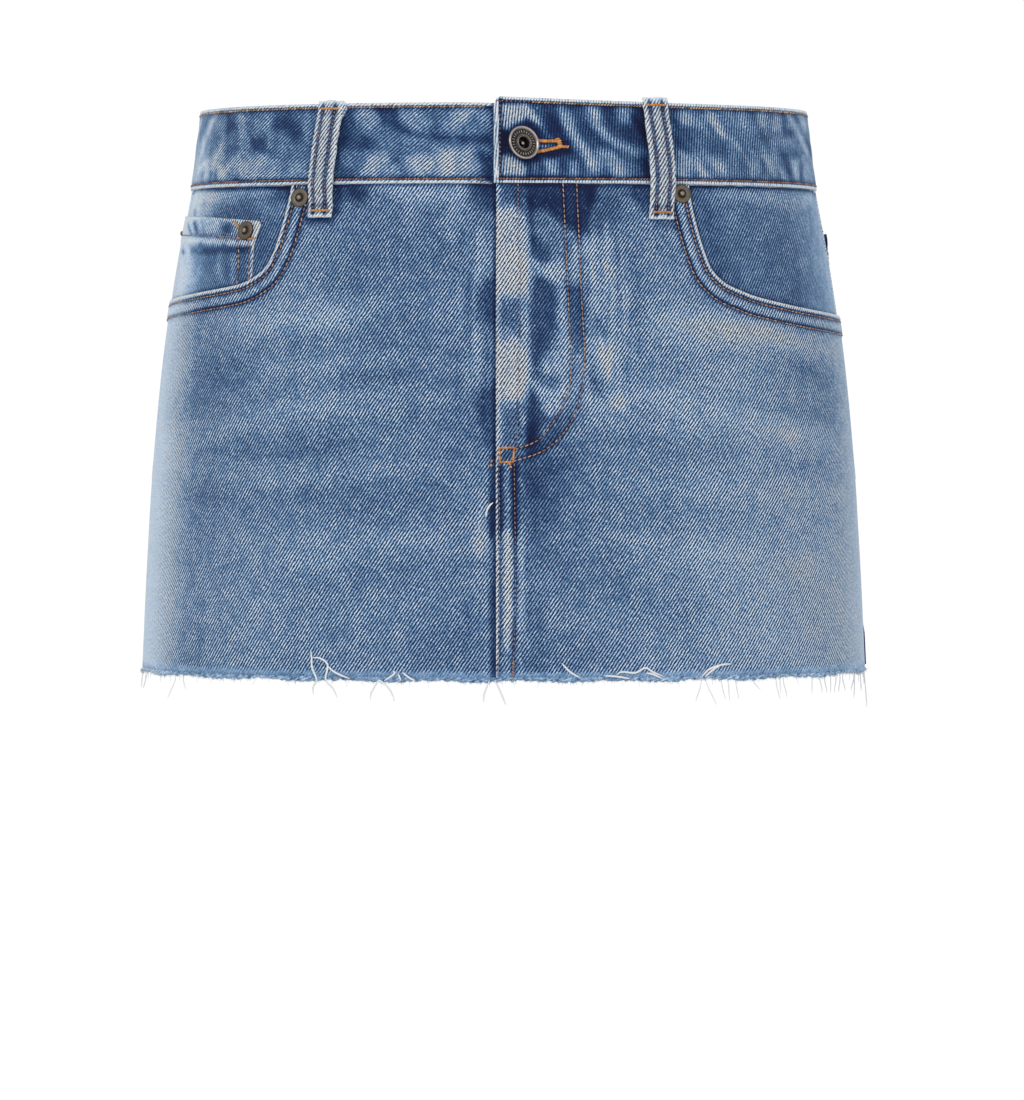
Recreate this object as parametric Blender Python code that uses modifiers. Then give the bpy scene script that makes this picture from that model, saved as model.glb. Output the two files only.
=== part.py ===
"""A short denim skirt, worn and hollow: panels, yoke, pockets, waistband, loops, button and rivets.

Sizes in the tables are millimetres. The origin is the centre of the waist opening at the middle
of the waistband. +Z is up, the front faces -Y and +X is the wearer's left. A place on the cloth
is given by how far it lies from the centre front along the cloth ("across", positive on the
wearer's left) and by its height.
"""

import math
import random
from collections import namedtuple

import bmesh
import bpy
import numpy as np
from mathutils import Matrix, Vector
from mathutils.geometry import delaunay_2d_cdt

MM = 0.001
GAP = 0.3  # between pieces, at seams and between layers

# ---- driving dimensions -------------------------------------------------------------------

Section = namedtuple("Section", "height half_width front_depth back_depth")
SECTIONS = (
    Section(22.0, 149.3, 93.5, 101.0),
    Section(-19.5, 154.6, 98.0, 107.0),
    Section(-50.0, 160.6, 103.5, 117.0),
    Section(-95.0, 167.6, 110.0, 127.0),
    Section(-154.0, 173.6, 115.0, 131.0),
    Section(-214.0, 177.3, 118.0, 132.0),
    Section(-259.0, 179.4, 120.0, 132.0),
)
ROUNDNESS = 2.2  # superellipse exponent of every section: 2 is an ellipse

BAND_TOP = 19.0
BAND_BOTTOM = -20.0
HEM = -256.5  # where the cloth ends and the frayed strip starts
FRAY_BOTTOM = -259.0
HALF_COLUMNS = 42  # lattice columns from centre front to centre back
SKIRT_ROWS = 8
SIDE = 0.5  # the side seams lie halfway round each half of the girth
PATTERN_WIDTH = 450.0  # nominal half girth of the flat pattern

CLOTH = 1.2  # wall of a panel
FACING_WALL = 1.0
BAND_WALL = 2.4
BAND_SUNK = 0.8  # how far the waistband's inner face lies inside the panels' inner face
LOOP_WALL = 1.8

FLY_FOLD = -3.4  # edge of the lapping left front
FLY_SHIELD = 30.0  # how far the right front runs under the left one along the fly
FLY_END = -152.0
SEAM_LAP = 8.0  # the same below the fly
LAP_RAMP = 9.5  # length over which the right front dips under the left one

BAND_END = -4.6  # outer end of the waistband
BAND_RISE = 3.0  # how much higher its top edge is at that end
BAND_RISE_ENDS = 120.0
BAND_UNDERLAP = 34.0

Spot = namedtuple("Spot", "across height")
POCKET_MOUTH_RIGHT = (  # from the waistband towards the side seam
    Spot(-102.0, -20.3),
    Spot(-105.3, -34.0),
    Spot(-109.6, -51.4),
    Spot(-115.1, -61.0),
    Spot(-123.5, -66.6),
    Spot(-135.3, -70.5),
    Spot(-160.4, -73.6),
    Spot(-188.5, -75.6),
)
MOUTH_END_RIGHT = -77.0  # height at which it meets the side seam
POCKET_MOUTH_LEFT = (
    Spot(88.5, -20.3),
    Spot(90.6, -36.0),
    Spot(94.2, -50.0),
    Spot(99.5, -60.2),
    Spot(109.0, -68.2),
    Spot(130.4, -76.4),
    Spot(157.9, -80.5),
    Spot(190.6, -83.0),
)
MOUTH_END_LEFT = -84.3
FACING_UNDER = 13.0  # how far a facing runs on under the front panel

COIN_OUTER_TOP = Spot(-208.0, -34.0)
COIN_INNER_TOP = Spot(-122.4, -37.5)
COIN_INNER_FOOT = -128.0  # across, where its inner side meets the pocket mouth

YOKE_AT_SIDE = -38.0
YOKE_AT_BACK = -70.0

BackPocket = namedtuple("BackPocket", "across height top_width foot_width side_height tip_height slope")
BACK_POCKET = BackPocket(310.0, -57.0, 152.0, 132.0, 116.0, 138.0, -0.148)

Loop = namedtuple("Loop", "name top_across foot_across")
LOOPS = (
    Loop("belt_loop_front_right", -86.4, -89.9),
    Loop("belt_loop_front_left", 73.8, 77.0),
)
BACK_LOOP_SHARE = 0.72  # of the half girth, from the centre front
LOOP_WIDTH = 12.0
LOOP_TOP = 21.0
LOOP_FOOT = -35.5
LoopLevel = namedtuple("LoopLevel", "height stands_off")  # off the form, to the loop's inner face
LOOP_BOW = (
    LoopLevel(22.0, 1.9),
    LoopLevel(14.5, 1.9),
    LoopLevel(6.0, 3.6),
    LoopLevel(-9.0, 4.3),
    LoopLevel(-21.0, 3.8),
    LoopLevel(-29.0, 1.5),
    LoopLevel(-40.0, 1.5),
)

# A turned profile runs from the middle of the face, down the outside, to the middle of the back.
Turning = namedtuple("Turning", "radius height")
BUTTON_PLACE = Spot(9.8, 0.7)
BUTTON_PROFILE = (
    Turning(0.0, 2.2),
    Turning(1.5, 2.2),
    Turning(1.9, 3.0),
    Turning(2.9, 3.0),
    Turning(3.4, 2.0),
    Turning(4.6, 1.8),
    Turning(6.4, 2.3),
    Turning(7.2, 2.9),
    Turning(8.2, 3.0),
    Turning(8.75, 2.3),
    Turning(8.75, 1.2),
    Turning(7.9, 0.5),
    Turning(3.0, 0.3),
    Turning(3.0, 0.0),
    Turning(0.0, 0.0),
)
BUTTON_STEPS = 24
RIVET_PROFILE = (
    Turning(0.0, 2.4),
    Turning(1.0, 2.2),
    Turning(1.7, 1.5),
    Turning(2.2, 1.15),
    Turning(3.6, 1.1),
    Turning(4.5, 0.7),
    Turning(4.5, 0.2),
    Turning(4.2, 0.0),
    Turning(0.0, 0.0),
)
RIVET_STEPS = 12
Rivet = namedtuple("Rivet", "name across height seat")  # seat: height of the cloth it lies on
RIVETS = (
    Rivet("rivet_pocket_right", -100.7, -26.1, CLOTH),
    Rivet("rivet_pocket_left", 87.8, -25.2, CLOTH),
    Rivet("rivet_coin_inner", -133.2, -41.2, FACING_WALL),
    Rivet("rivet_coin_outer", -202.5, -40.6, FACING_WALL),
)

Thread = namedtuple("Thread", "across drop drift")  # drift: sideways move of the tip
LONG_THREADS = (
    Thread(-176.0, 11.0, -6.0),
    Thread(-170.0, 6.0, 2.0),
    Thread(-98.0, 4.0, -3.0),
    Thread(-92.0, 7.0, 2.4),
    Thread(-66.0, 9.5, -3.2),
    Thread(-58.0, 7.5, 4.0),
    Thread(-10.0, 9.5, -3.4),
    Thread(1.5, 11.0, 4.6),
    Thread(99.0, 7.5, -2.6),
    Thread(101.5, 10.5, 5.6),
    Thread(109.0, 8.0, 2.2),
    Thread(115.0, 7.5, 1.6),
    Thread(119.5, 8.6, 2.2),
    Thread(129.5, 3.4, 3.0),
    Thread(147.0, 8.4, 1.8),
    Thread(152.5, 7.4, 2.6),
    Thread(176.0, 6.0, -1.6),
    Thread(183.5, 6.6, 0.4),
    Thread(190.5, 6.8, 0.8),
    Thread(196.5, 7.2, -1.2),
    Thread(202.5, 7.0, 1.0),
    Thread(216.0, 11.5, -3.0),
    Thread(231.0, 20.5, 5.0),
)
SHORT_PITCHES = (3.8, 13.2)  # least and most distance between the short threads
SHORT_DROP = (1.2, 3.6)
BACK_DROP = (2.0, 10.0)
SHORT_DRIFT = 0.9
THREAD_WIDTH = 0.7
THREAD_CLEAR = 2.4  # least distance between two roots
Joint = namedtuple("Joint", "share width")  # share of the thread's drop, width beside the last one
THREAD_JOINTS = (Joint(0.45, 0.6), Joint(1.0, 0.55))

DENIM = (0.145, 0.225, 0.345)
DENIM_DARK = (0.09, 0.15, 0.26)
THREAD_WHITE = (0.78, 0.80, 0.82)
PEWTER = (0.20, 0.18, 0.17)
ANTIQUE_BRASS = (0.17, 0.12, 0.08)


# ---- the form -----------------------------------------------------------------------------


def smooth_through(positions, values, where):
    """Value at `where` of a smooth curve through a table with falling positions."""
    x = np.array(positions[::-1])
    y = np.array(values[::-1])
    slope = np.gradient(y, x)
    i = int(np.clip(np.searchsorted(x, where) - 1, 0, len(x) - 2))
    step = x[i + 1] - x[i]
    u = (where - x[i]) / step
    blend = 3 * u**2 - 2 * u**3
    lead = (u**3 - 2 * u**2 + u) * step * slope[i]
    trail = (u**3 - u**2) * step * slope[i + 1]
    return (1 - blend) * y[i] + blend * y[i + 1] + lead + trail


def section_at(height):
    heights = [section.height for section in SECTIONS]
    sizes = (
        smooth_through(heights, [row[column] for row in SECTIONS], height) for column in (1, 2, 3)
    )
    return Section(height, *sizes)


def half_ring(height, shares):
    """Points of one level at shares of the length from centre front to centre back, and that length."""
    section = section_at(height)
    angle = np.linspace(0, math.pi, 1441)
    sine = np.sin(angle)
    cosine = np.cos(angle)
    depth = np.where(cosine > 0, section.front_depth, section.back_depth)
    x = section.half_width * np.abs(sine) ** (2 / ROUNDNESS)
    y = -depth * np.sign(cosine) * np.abs(cosine) ** (2 / ROUNDNESS)
    run = np.concatenate([[0], np.cumsum(np.hypot(np.diff(x), np.diff(y)))])
    wanted = np.asarray(shares) * run[-1]
    points = np.stack([np.interp(wanted, run, x), np.interp(wanted, run, y)], axis=1)
    return points, run[-1]


ROWS = np.array(
    [22.0, 1.0, BAND_BOTTOM]
    + [BAND_BOTTOM + (FRAY_BOTTOM - BAND_BOTTOM) * i / SKIRT_ROWS for i in range(1, SKIRT_ROWS + 1)]
)
SHARES = np.arange(HALF_COLUMNS + 1) / HALF_COLUMNS


def build_lattice():
    """Points and outward normals of the form at every row and column, and each row's half girth."""
    points = np.zeros((len(ROWS), len(SHARES), 3))
    girths = np.zeros(len(ROWS))
    for i, height in enumerate(ROWS):
        ring, girths[i] = half_ring(height, SHARES)
        points[i, :, :2] = ring
        points[i, :, 2] = height
    along = np.gradient(points, axis=1)
    along[:, 0] = (1, 0, 0)
    along[:, -1] = (-1, 0, 0)
    up = -np.gradient(points, axis=0)
    normals = np.cross(along, up)
    normals /= np.linalg.norm(normals, axis=2, keepdims=True)
    return points, normals, girths


POINTS, NORMALS, GIRTHS = build_lattice()


def half_girth(height):
    return float(np.interp(height, ROWS[::-1], GIRTHS[::-1]))


def place(share, height, lift):
    """Point in mm at a share of the half girth from the centre front, `lift` outside the form."""
    wrapped = (share + 1) % 2 - 1
    side = -1 if wrapped < 0 else 1
    column = abs(wrapped) * HALF_COLUMNS
    j = min(int(column), HALF_COLUMNS - 1)
    i = int(np.clip(np.searchsorted(-ROWS, -height) - 1, 0, len(ROWS) - 2))
    v = (height - ROWS[i]) / (ROWS[i + 1] - ROWS[i])
    u = column - j
    spots = POINTS[i : i + 2, j : j + 2] + lift * NORMALS[i : i + 2, j : j + 2]
    upper = spots[0, 0] * (1 - u) + spots[0, 1] * u
    lower = spots[1, 0] * (1 - u) + spots[1, 1] * u
    x, y, z = upper * (1 - v) + lower * v
    return Vector((side * x, y, z)) * MM


def on_cloth(across, height):
    """Pattern point of a place on the cloth."""
    return (across / half_girth(height) * PATTERN_WIDTH, height)


def on_seam(share, height, beside=0.0):
    """Pattern point on the seam at a share of the half girth, or `beside` it."""
    return ((share + beside / half_girth(height)) * PATTERN_WIDTH, height)


def across_of(point):
    """How far along the cloth a pattern point lies from the centre front."""
    return point[0] / PATTERN_WIDTH * half_girth(point[1])


# ---- making a piece -----------------------------------------------------------------------


def clear_scene():
    for obj in list(bpy.data.objects):
        bpy.data.objects.remove(obj, do_unlink=True)


def finish(name, colour, roughness, metallic=0.0):
    material = bpy.data.materials.new(name)
    material.use_nodes = True
    shader = material.node_tree.nodes["Principled BSDF"]
    shader.inputs["Base Color"].default_value = (*colour, 1.0)
    shader.inputs["Roughness"].default_value = roughness
    shader.inputs["Metallic"].default_value = metallic
    return material


def new_piece(name, mesh, material):
    piece = bpy.data.objects.new(name, mesh)
    mesh.materials.append(material)
    SKIRT.objects.link(piece)
    return piece


def inside(outline, point):
    """Whether a pattern point lies inside a closed outline."""
    x, y = point
    hit = False
    for (x1, y1), (x2, y2) in zip(outline, outline[1:] + outline[:1]):
        if (y1 > y) != (y2 > y) and x < x1 + (y - y1) / (y2 - y1) * (x2 - x1):
            hit = not hit
    return hit


def pattern_mesh(outline, folds=()):
    """Triangles of a pattern piece, split along the lattice's lines and the given folds."""
    left = min(x for x, _ in outline)
    right = max(x for x, _ in outline)
    foot = min(y for _, y in outline)
    top = max(y for _, y in outline)
    margin = 1.0
    pitch = PATTERN_WIDTH / HALF_COLUMNS
    lines = list(folds)
    for column in range(math.ceil((left + 0.2) / pitch), math.floor((right - 0.2) / pitch) + 1):
        lines.append([(column * pitch, foot - margin), (column * pitch, top + margin)])
    for row in ROWS:
        if foot + 0.2 < row < top - 0.2:
            lines.append([(left - margin, row), (right + margin, row)])
    spots = [Vector(point) for point in outline]
    edges = [(i, (i + 1) % len(outline)) for i in range(len(outline))]
    for line in lines:
        edges += [(len(spots) + i, len(spots) + i + 1) for i in range(len(line) - 1)]
        spots += [Vector(point) for point in line]
    spots, _, faces, *_ = delaunay_2d_cdt(spots, edges, [], 0, 0.02)
    kept = []
    for face in faces:
        a, b, c = (spots[i] for i in face)
        turn = (b - a).cross(c - a)
        middle = (a + b + c) / 3
        if abs(turn) > 1e-3 and inside(outline, middle):
            kept.append(face if turn > 0 else face[::-1])
    return spots, kept


def cut_cloth(name, outline, lift, wall, material, folds=()):
    """A piece of cloth: its pattern laid `lift` outside the form, with its wall outwards from there."""
    spots, faces = pattern_mesh(outline, folds)
    raised = lift if callable(lift) else lambda across, height: lift
    bm = bmesh.new()
    placed = {}
    for face in faces:
        for i in face:
            if i not in placed:
                x, height = spots[i]
                share = x / PATTERN_WIDTH
                placed[i] = bm.verts.new(place(share, height, raised(across_of(spots[i]), height)))
        bm.faces.new([placed[i] for i in face])
    mesh = bpy.data.meshes.new(name)
    bm.to_mesh(mesh)
    bm.free()
    piece = new_piece(name, mesh, material)
    wall_modifier = piece.modifiers.new("wall", "SOLIDIFY")
    wall_modifier.thickness = wall * MM
    wall_modifier.offset = 1.0
    return piece


def smooth_line(points, steps=4):
    """A Catmull-Rom curve through the points."""
    padded = [2 * Vector(points[0]) - Vector(points[1])]
    padded += [Vector(point) for point in points]
    padded.append(2 * Vector(points[-1]) - Vector(points[-2]))
    line = []
    for a, b, c, d in zip(padded, padded[1:], padded[2:], padded[3:]):
        for step in range(steps):
            u = step / steps
            bend = 2 * b + (c - a) * u + (2 * a - 5 * b + 4 * c - d) * u**2
            line.append((bend + (3 * b - a - 3 * c + d) * u**3) / 2)
    line.append(Vector(points[-1]))
    return [tuple(point) for point in line]


def offset_line(points, distance):
    """The line moved sideways, to its left where the distance is positive."""
    moved = []
    for i, point in enumerate(points):
        before = Vector(points[max(i - 1, 0)])
        after = Vector(points[min(i + 1, len(points) - 1)])
        heading = (after - before).normalized()
        moved.append((point[0] - heading.y * distance, point[1] + heading.x * distance))
    return moved


def turned(name, profile, spot, lift, material, steps):
    """A turned piece, with its axis along the cloth's normal at a place on the cloth."""
    mesh = bpy.data.meshes.new(name)
    edges = [(i, i + 1) for i in range(len(profile) - 1)]
    mesh.from_pydata([(radius * MM, 0, height * MM) for radius, height in profile], edges, [])
    piece = new_piece(name, mesh, material)
    screw = piece.modifiers.new("turned", "SCREW")
    screw.steps = screw.render_steps = steps
    screw.use_merge_vertices = True
    screw.merge_threshold = 0.00005
    share = spot.across / half_girth(spot.height)
    foot = place(share, spot.height, lift)
    outwards = (place(share, spot.height, lift + 10) - foot).normalized()
    sideways = Vector((0, 0, 1)).cross(outwards).normalized()
    upwards = outwards.cross(sideways)
    turn = Matrix((sideways, upwards, outwards)).transposed().to_4x4()
    piece.matrix_world = Matrix.Translation(foot) @ turn
    return piece


# ---- fronts and pocket mouths -------------------------------------------------------------

SKIRT_TOP = BAND_BOTTOM - GAP


def mouth_line(side):
    """A front pocket's mouth, from the waistband to the side seam, and where it meets the seam."""
    points, end = (POCKET_MOUTH_RIGHT, MOUTH_END_RIGHT) if side < 0 else (POCKET_MOUTH_LEFT, MOUTH_END_LEFT)
    seam = Spot(side * (SIDE * half_girth(end) - GAP / 2), end)
    return smooth_line(points + (seam,))


def front_dip(across, height):
    """The right front sinks under the left one from a little before the fly's fold."""
    start = FLY_FOLD - GAP - LAP_RAMP
    sunk = min(max((across - start) / LAP_RAMP, 0.0), 1.0)
    return -(CLOTH + GAP) * sunk


def front_panels():
    denim = finish("denim_front", DENIM, 0.85)
    mouth = [on_cloth(*point) for point in mouth_line(1)]
    outline = [on_cloth(FLY_FOLD, SKIRT_TOP), on_cloth(FLY_FOLD, HEM)]
    outline += [on_seam(SIDE, HEM, -GAP / 2)]
    cut_cloth("front_panel_left", outline + mouth[::-1], 0.0, CLOTH, denim)

    mouth = [on_cloth(*point) for point in mouth_line(-1)]
    outline = mouth + [on_seam(-SIDE, HEM, GAP / 2), on_cloth(SEAM_LAP, HEM)]
    outline += [on_cloth(SEAM_LAP, FLY_END), on_cloth(FLY_SHIELD, FLY_END)]
    outline += [on_cloth(FLY_SHIELD, SKIRT_TOP)]
    ramp_start = FLY_FOLD - GAP - LAP_RAMP
    ramp = [
        [on_cloth(across, SKIRT_TOP + 1), on_cloth(across, HEM - 1)]
        for across in (ramp_start, ramp_start + LAP_RAMP)
    ]
    cut_cloth("front_panel_right", outline, front_dip, CLOTH, denim, folds=ramp)


def facing_outline(side):
    line = offset_line(mouth_line(side), -FACING_UNDER * side)
    line = [point for point in line if point[1] < SKIRT_TOP - 1]
    corner = (line[0][0], SKIRT_TOP)
    end = on_seam(side * SIDE, line[-1][1], -side * GAP)
    points = [on_cloth(*point) for point in [corner] + line[:-1]]
    return points + [end, on_seam(side * SIDE, SKIRT_TOP, -side * GAP)]


def pocket_facings():
    denim = finish("denim_facing", DENIM_DARK, 0.85)
    sunk = -FACING_WALL - GAP
    cut_cloth("pocket_facing_left", facing_outline(1), sunk, FACING_WALL, denim)
    cut_cloth("pocket_facing_right", facing_outline(-1), sunk, FACING_WALL, denim)


def coin_pocket():
    denim = finish("denim_coin_pocket", DENIM_DARK, 0.85)
    edge = offset_line(mouth_line(-1), -GAP)
    foot = [point for point in edge if COIN_OUTER_TOP.across < point[0] < COIN_INNER_FOOT]
    from_side = edge[::-1]

    def edge_at(across):
        return (across, float(np.interp(across, *zip(*from_side))))

    outline = [COIN_OUTER_TOP, COIN_INNER_TOP, edge_at(COIN_INNER_FOOT)]
    outline += foot + [edge_at(COIN_OUTER_TOP.across)]
    cut_cloth("coin_pocket", [on_cloth(*point) for point in outline], 0.0, FACING_WALL, denim)


# ---- back ---------------------------------------------------------------------------------


def back_panels():
    denim = finish("denim_back", DENIM, 0.85)
    for side, name in ((1, "left"), (-1, "right")):
        at_side = side * GAP / 2
        at_back = -side * GAP / 2
        yoke = [on_seam(side * SIDE, SKIRT_TOP, at_side), on_seam(side, SKIRT_TOP, at_back)]
        yoke += [on_seam(side, YOKE_AT_BACK, at_back), on_seam(side * SIDE, YOKE_AT_SIDE, at_side)]
        cut_cloth(f"back_yoke_{name}", yoke, 0.0, CLOTH, denim)
        panel = [on_seam(side * SIDE, YOKE_AT_SIDE - GAP, at_side)]
        panel += [on_seam(side, YOKE_AT_BACK - GAP, at_back)]
        panel += [on_seam(side, HEM, at_back), on_seam(side * SIDE, HEM, at_side)]
        cut_cloth(f"back_panel_{name}", panel, 0.0, CLOTH, denim)


def back_pockets():
    denim = finish("denim_back_pocket", DENIM, 0.85)
    pocket = BACK_POCKET
    corners = (
        (-pocket.top_width / 2, 0),
        (pocket.top_width / 2, 0),
        (pocket.foot_width / 2, -pocket.side_height),
        (0, -pocket.tip_height),
        (-pocket.foot_width / 2, -pocket.side_height),
    )
    for side, name in ((1, "left"), (-1, "right")):
        outline = []
        for x, y in corners:
            height = pocket.height + y + x * pocket.slope
            outline.append(on_cloth(side * (pocket.across + x), height))
        cut_cloth(f"back_pocket_{name}", outline, CLOTH + GAP, CLOTH, denim)


# ---- waistband and loops ------------------------------------------------------------------


def band_top(across):
    """The top edge rises towards the lapping end."""
    away = min(max((across - BAND_END) / (BAND_RISE_ENDS - BAND_END), 0.0), 1.0)
    return BAND_TOP + BAND_RISE * (1 - away) ** 2


def band_lift(across, height):
    """The under end dips inside the outer end; the band runs twice round the lattice's half."""
    start = 2 * half_girth(height) + BAND_END - GAP - LAP_RAMP
    sunk = min(max((across - start) / LAP_RAMP, 0.0), 1.0)
    return -BAND_SUNK - (BAND_WALL + GAP) * sunk


def waistband():
    """One strip from the lapping end round the wearer's left, back and right to the under end."""
    denim = finish("denim_waistband", DENIM, 0.85)
    rise_steps = 6
    rises = [BAND_END + (BAND_RISE_ENDS - BAND_END) * i / rise_steps for i in range(rise_steps + 1)]
    whole = 2 * PATTERN_WIDTH
    end = on_cloth(BAND_UNDERLAP, BAND_TOP)[0] + whole
    outline = [on_cloth(across, band_top(across)) for across in rises]
    outline += [(end, BAND_TOP), (end, BAND_BOTTOM), on_cloth(BAND_END, BAND_BOTTOM)]
    folds = []
    for across in (BAND_END - GAP - LAP_RAMP, BAND_END - GAP):
        top = on_cloth(across, BAND_TOP + 1)
        foot = on_cloth(across, BAND_BOTTOM - 1)
        folds.append([(top[0] + whole, top[1]), (foot[0] + whole, foot[1])])
    cut_cloth("waistband", outline, band_lift, BAND_WALL, denim, folds)


def loop_lift(across, height):
    heights = [level.height for level in LOOP_BOW][::-1]
    lifts = [level.stands_off for level in LOOP_BOW][::-1]
    return float(np.interp(height, heights, lifts))


def belt_loops():
    denim = finish("denim_loop", DENIM, 0.85)
    loops = list(LOOPS)
    back_loops = (("back_right", -BACK_LOOP_SHARE), ("back_left", BACK_LOOP_SHARE), ("centre_back", 1.0))
    for name, share in back_loops:
        top_across = share * half_girth(LOOP_TOP)
        loops.append(Loop(f"belt_loop_{name}", top_across, share * half_girth(LOOP_FOOT)))
    for loop in loops:
        half = LOOP_WIDTH / 2
        outline = [
            on_cloth(loop.top_across - half, LOOP_TOP),
            on_cloth(loop.foot_across - half, LOOP_FOOT),
            on_cloth(loop.foot_across + half, LOOP_FOOT),
            on_cloth(loop.top_across + half, LOOP_TOP),
        ]
        left = min(x for x, _ in outline) - 1
        right = max(x for x, _ in outline) + 1
        bends = [level.height for level in LOOP_BOW[1:-1]]
        folds = [[(left, height), (right, height)] for height in bends]
        cut_cloth(loop.name, outline, loop_lift, LOOP_WALL, denim, folds)


# ---- button and rivets --------------------------------------------------------------------


def button():
    """A shank button: flat back, rolled rim, a dished face and a small hollow stud in the middle."""
    pewter = finish("pewter", PEWTER, 0.4, 0.9)
    seat = BAND_WALL - BAND_SUNK + GAP
    turned("waist_button", BUTTON_PROFILE, BUTTON_PLACE, seat, pewter, BUTTON_STEPS)


def rivets():
    brass = finish("antique_brass", ANTIQUE_BRASS, 0.45, 0.9)
    for rivet in RIVETS:
        spot = Spot(rivet.across, rivet.height)
        turned(rivet.name, RIVET_PROFILE, spot, rivet.seat + GAP, brass, RIVET_STEPS)


# ---- frayed hem ---------------------------------------------------------------------------


def thread_roots(start, end, known, drops, draw):
    """Threads from `start` to `end` of a strip: the known ones, then short ones in what is left."""
    threads = [thread for thread in known if start + THREAD_CLEAR < thread.across < end - THREAD_CLEAR]
    across = start + THREAD_CLEAR
    while across < end - THREAD_CLEAR:
        if all(abs(across - thread.across) > THREAD_CLEAR for thread in threads):
            drop = draw.uniform(*drops)
            threads.append(Thread(across, drop, draw.uniform(-SHORT_DRIFT, SHORT_DRIFT)))
        across += draw.uniform(*SHORT_PITCHES)
    return sorted(threads)


def fray_strip(name, start, end, known, drops, material, seed):
    """A narrow strip below the cloth's edge, with threads that hang from its underside."""
    draw = random.Random(seed)
    threads = thread_roots(start, end, known, drops, draw)
    pitch = half_girth(FRAY_BOTTOM) / HALF_COLUMNS
    marks = [(thread.across - THREAD_WIDTH / 2, thread) for thread in threads]
    marks += [(thread.across + THREAD_WIDTH / 2, None) for thread in threads]
    for column in range(math.ceil(start / pitch), math.floor(end / pitch) + 1):
        across = column * pitch
        if start + 0.5 < across < end - 0.5:
            if all(abs(across - thread.across) > 0.8 for thread in threads):
                marks.append((across, None))
    marks = [(start, None)] + sorted(marks, key=lambda mark: mark[0]) + [(end, None)]

    def spot(across, height, lift):
        return place(across / half_girth(height), height, lift)

    bm = bmesh.new()
    inner = [bm.verts.new(spot(across, FRAY_BOTTOM, 0.0)) for across, _ in marks]
    outer = [bm.verts.new(spot(across, FRAY_BOTTOM, CLOTH)) for across, _ in marks]
    hanging = []
    for i, (_, thread) in enumerate(marks[:-1]):
        face = bm.faces.new([inner[i], inner[i + 1], outer[i + 1], outer[i]])
        if thread:
            hanging.append((face, thread))
    lifted = bmesh.ops.extrude_face_region(bm, geom=bm.faces[:], use_keep_orig=True)
    rise = (HEM - GAP - FRAY_BOTTOM) * MM
    for vert in (element for element in lifted["geom"] if isinstance(element, bmesh.types.BMVert)):
        vert.co.z += rise
    bmesh.ops.recalc_face_normals(bm, faces=bm.faces[:])
    for face, thread in hanging:
        sideways = (face.verts[1].co - face.verts[0].co).normalized()
        for joint in THREAD_JOINTS:
            middle = spot(thread.across, FRAY_BOTTOM, CLOTH / 2)
            middle += sideways * thread.drift * MM * joint.share**1.5
            middle.z -= thread.drop * MM * joint.share
            made = bmesh.ops.extrude_discrete_faces(bm, faces=[face])
            face = made["faces"][0]
            centre = face.calc_center_median()
            for vert in face.verts:
                vert.co = middle + (vert.co - centre) * joint.width
    mesh = bpy.data.meshes.new(name)
    bm.to_mesh(mesh)
    bm.free()
    return new_piece(name, mesh, material)


def hem_frays():
    white = finish("frayed_thread", THREAD_WHITE, 0.9)
    half = half_girth(FRAY_BOTTOM)
    side = SIDE * half
    right = [thread for thread in LONG_THREADS if thread.across < 0]
    left = [thread for thread in LONG_THREADS if thread.across > 0]
    front = FLY_FOLD - GAP / 2
    edge = GAP / 2
    fray_strip("hem_fray_front_right", -side + edge, front - edge, right, SHORT_DROP, white, 3)
    fray_strip("hem_fray_front_left", front + edge, side - edge, left, SHORT_DROP, white, 5)
    fray_strip("hem_fray_back_left", side + edge, half - edge, (), BACK_DROP, white, 7)
    fray_strip("hem_fray_back_right", -half + edge, -side - edge, (), BACK_DROP, white, 11)


clear_scene()
SKIRT = bpy.data.collections.new("denim_skirt")
bpy.context.scene.collection.children.link(SKIRT)
front_panels()
pocket_facings()
coin_pocket()
back_panels()
back_pockets()
waistband()
belt_loops()
button()
rivets()
hem_frays()
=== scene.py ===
"""A short denim skirt, worn and hollow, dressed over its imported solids.

Tables are in millimetres and meshes in metres. The origin is the centre of the waist opening, +Z
is up, the front faces -Y and +X is the wearer's left. A place on the cloth is how far it lies from
the centre front along the cloth ("across", positive on the wearer's left) and its height.
"""

import math
import random
from collections import namedtuple

import bpy
import numpy as np
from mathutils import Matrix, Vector, kdtree, noise
from mathutils.geometry import delaunay_2d_cdt


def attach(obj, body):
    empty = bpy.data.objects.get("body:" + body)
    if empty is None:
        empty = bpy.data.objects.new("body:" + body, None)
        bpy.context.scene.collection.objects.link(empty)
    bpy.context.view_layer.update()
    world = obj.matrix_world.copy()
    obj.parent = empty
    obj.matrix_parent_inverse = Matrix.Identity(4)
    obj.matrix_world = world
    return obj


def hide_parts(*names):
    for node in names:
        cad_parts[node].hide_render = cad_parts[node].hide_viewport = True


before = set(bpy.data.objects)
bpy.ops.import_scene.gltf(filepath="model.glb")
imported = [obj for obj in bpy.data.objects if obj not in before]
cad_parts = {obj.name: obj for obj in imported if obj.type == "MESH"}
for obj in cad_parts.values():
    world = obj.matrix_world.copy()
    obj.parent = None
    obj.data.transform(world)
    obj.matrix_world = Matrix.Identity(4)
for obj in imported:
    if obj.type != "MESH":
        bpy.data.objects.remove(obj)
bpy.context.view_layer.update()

# ---- front panels -------------------------------------------------------------------------
# Two fronts of heavy indigo denim on the straight grain, from the waist seam to the raw hem. The
# left one folds back at the fly and laps over the right one, and a lapped seam joins them below.
# Washing and wear have bleached the ridges of their folds and left the troughs dark.

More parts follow.
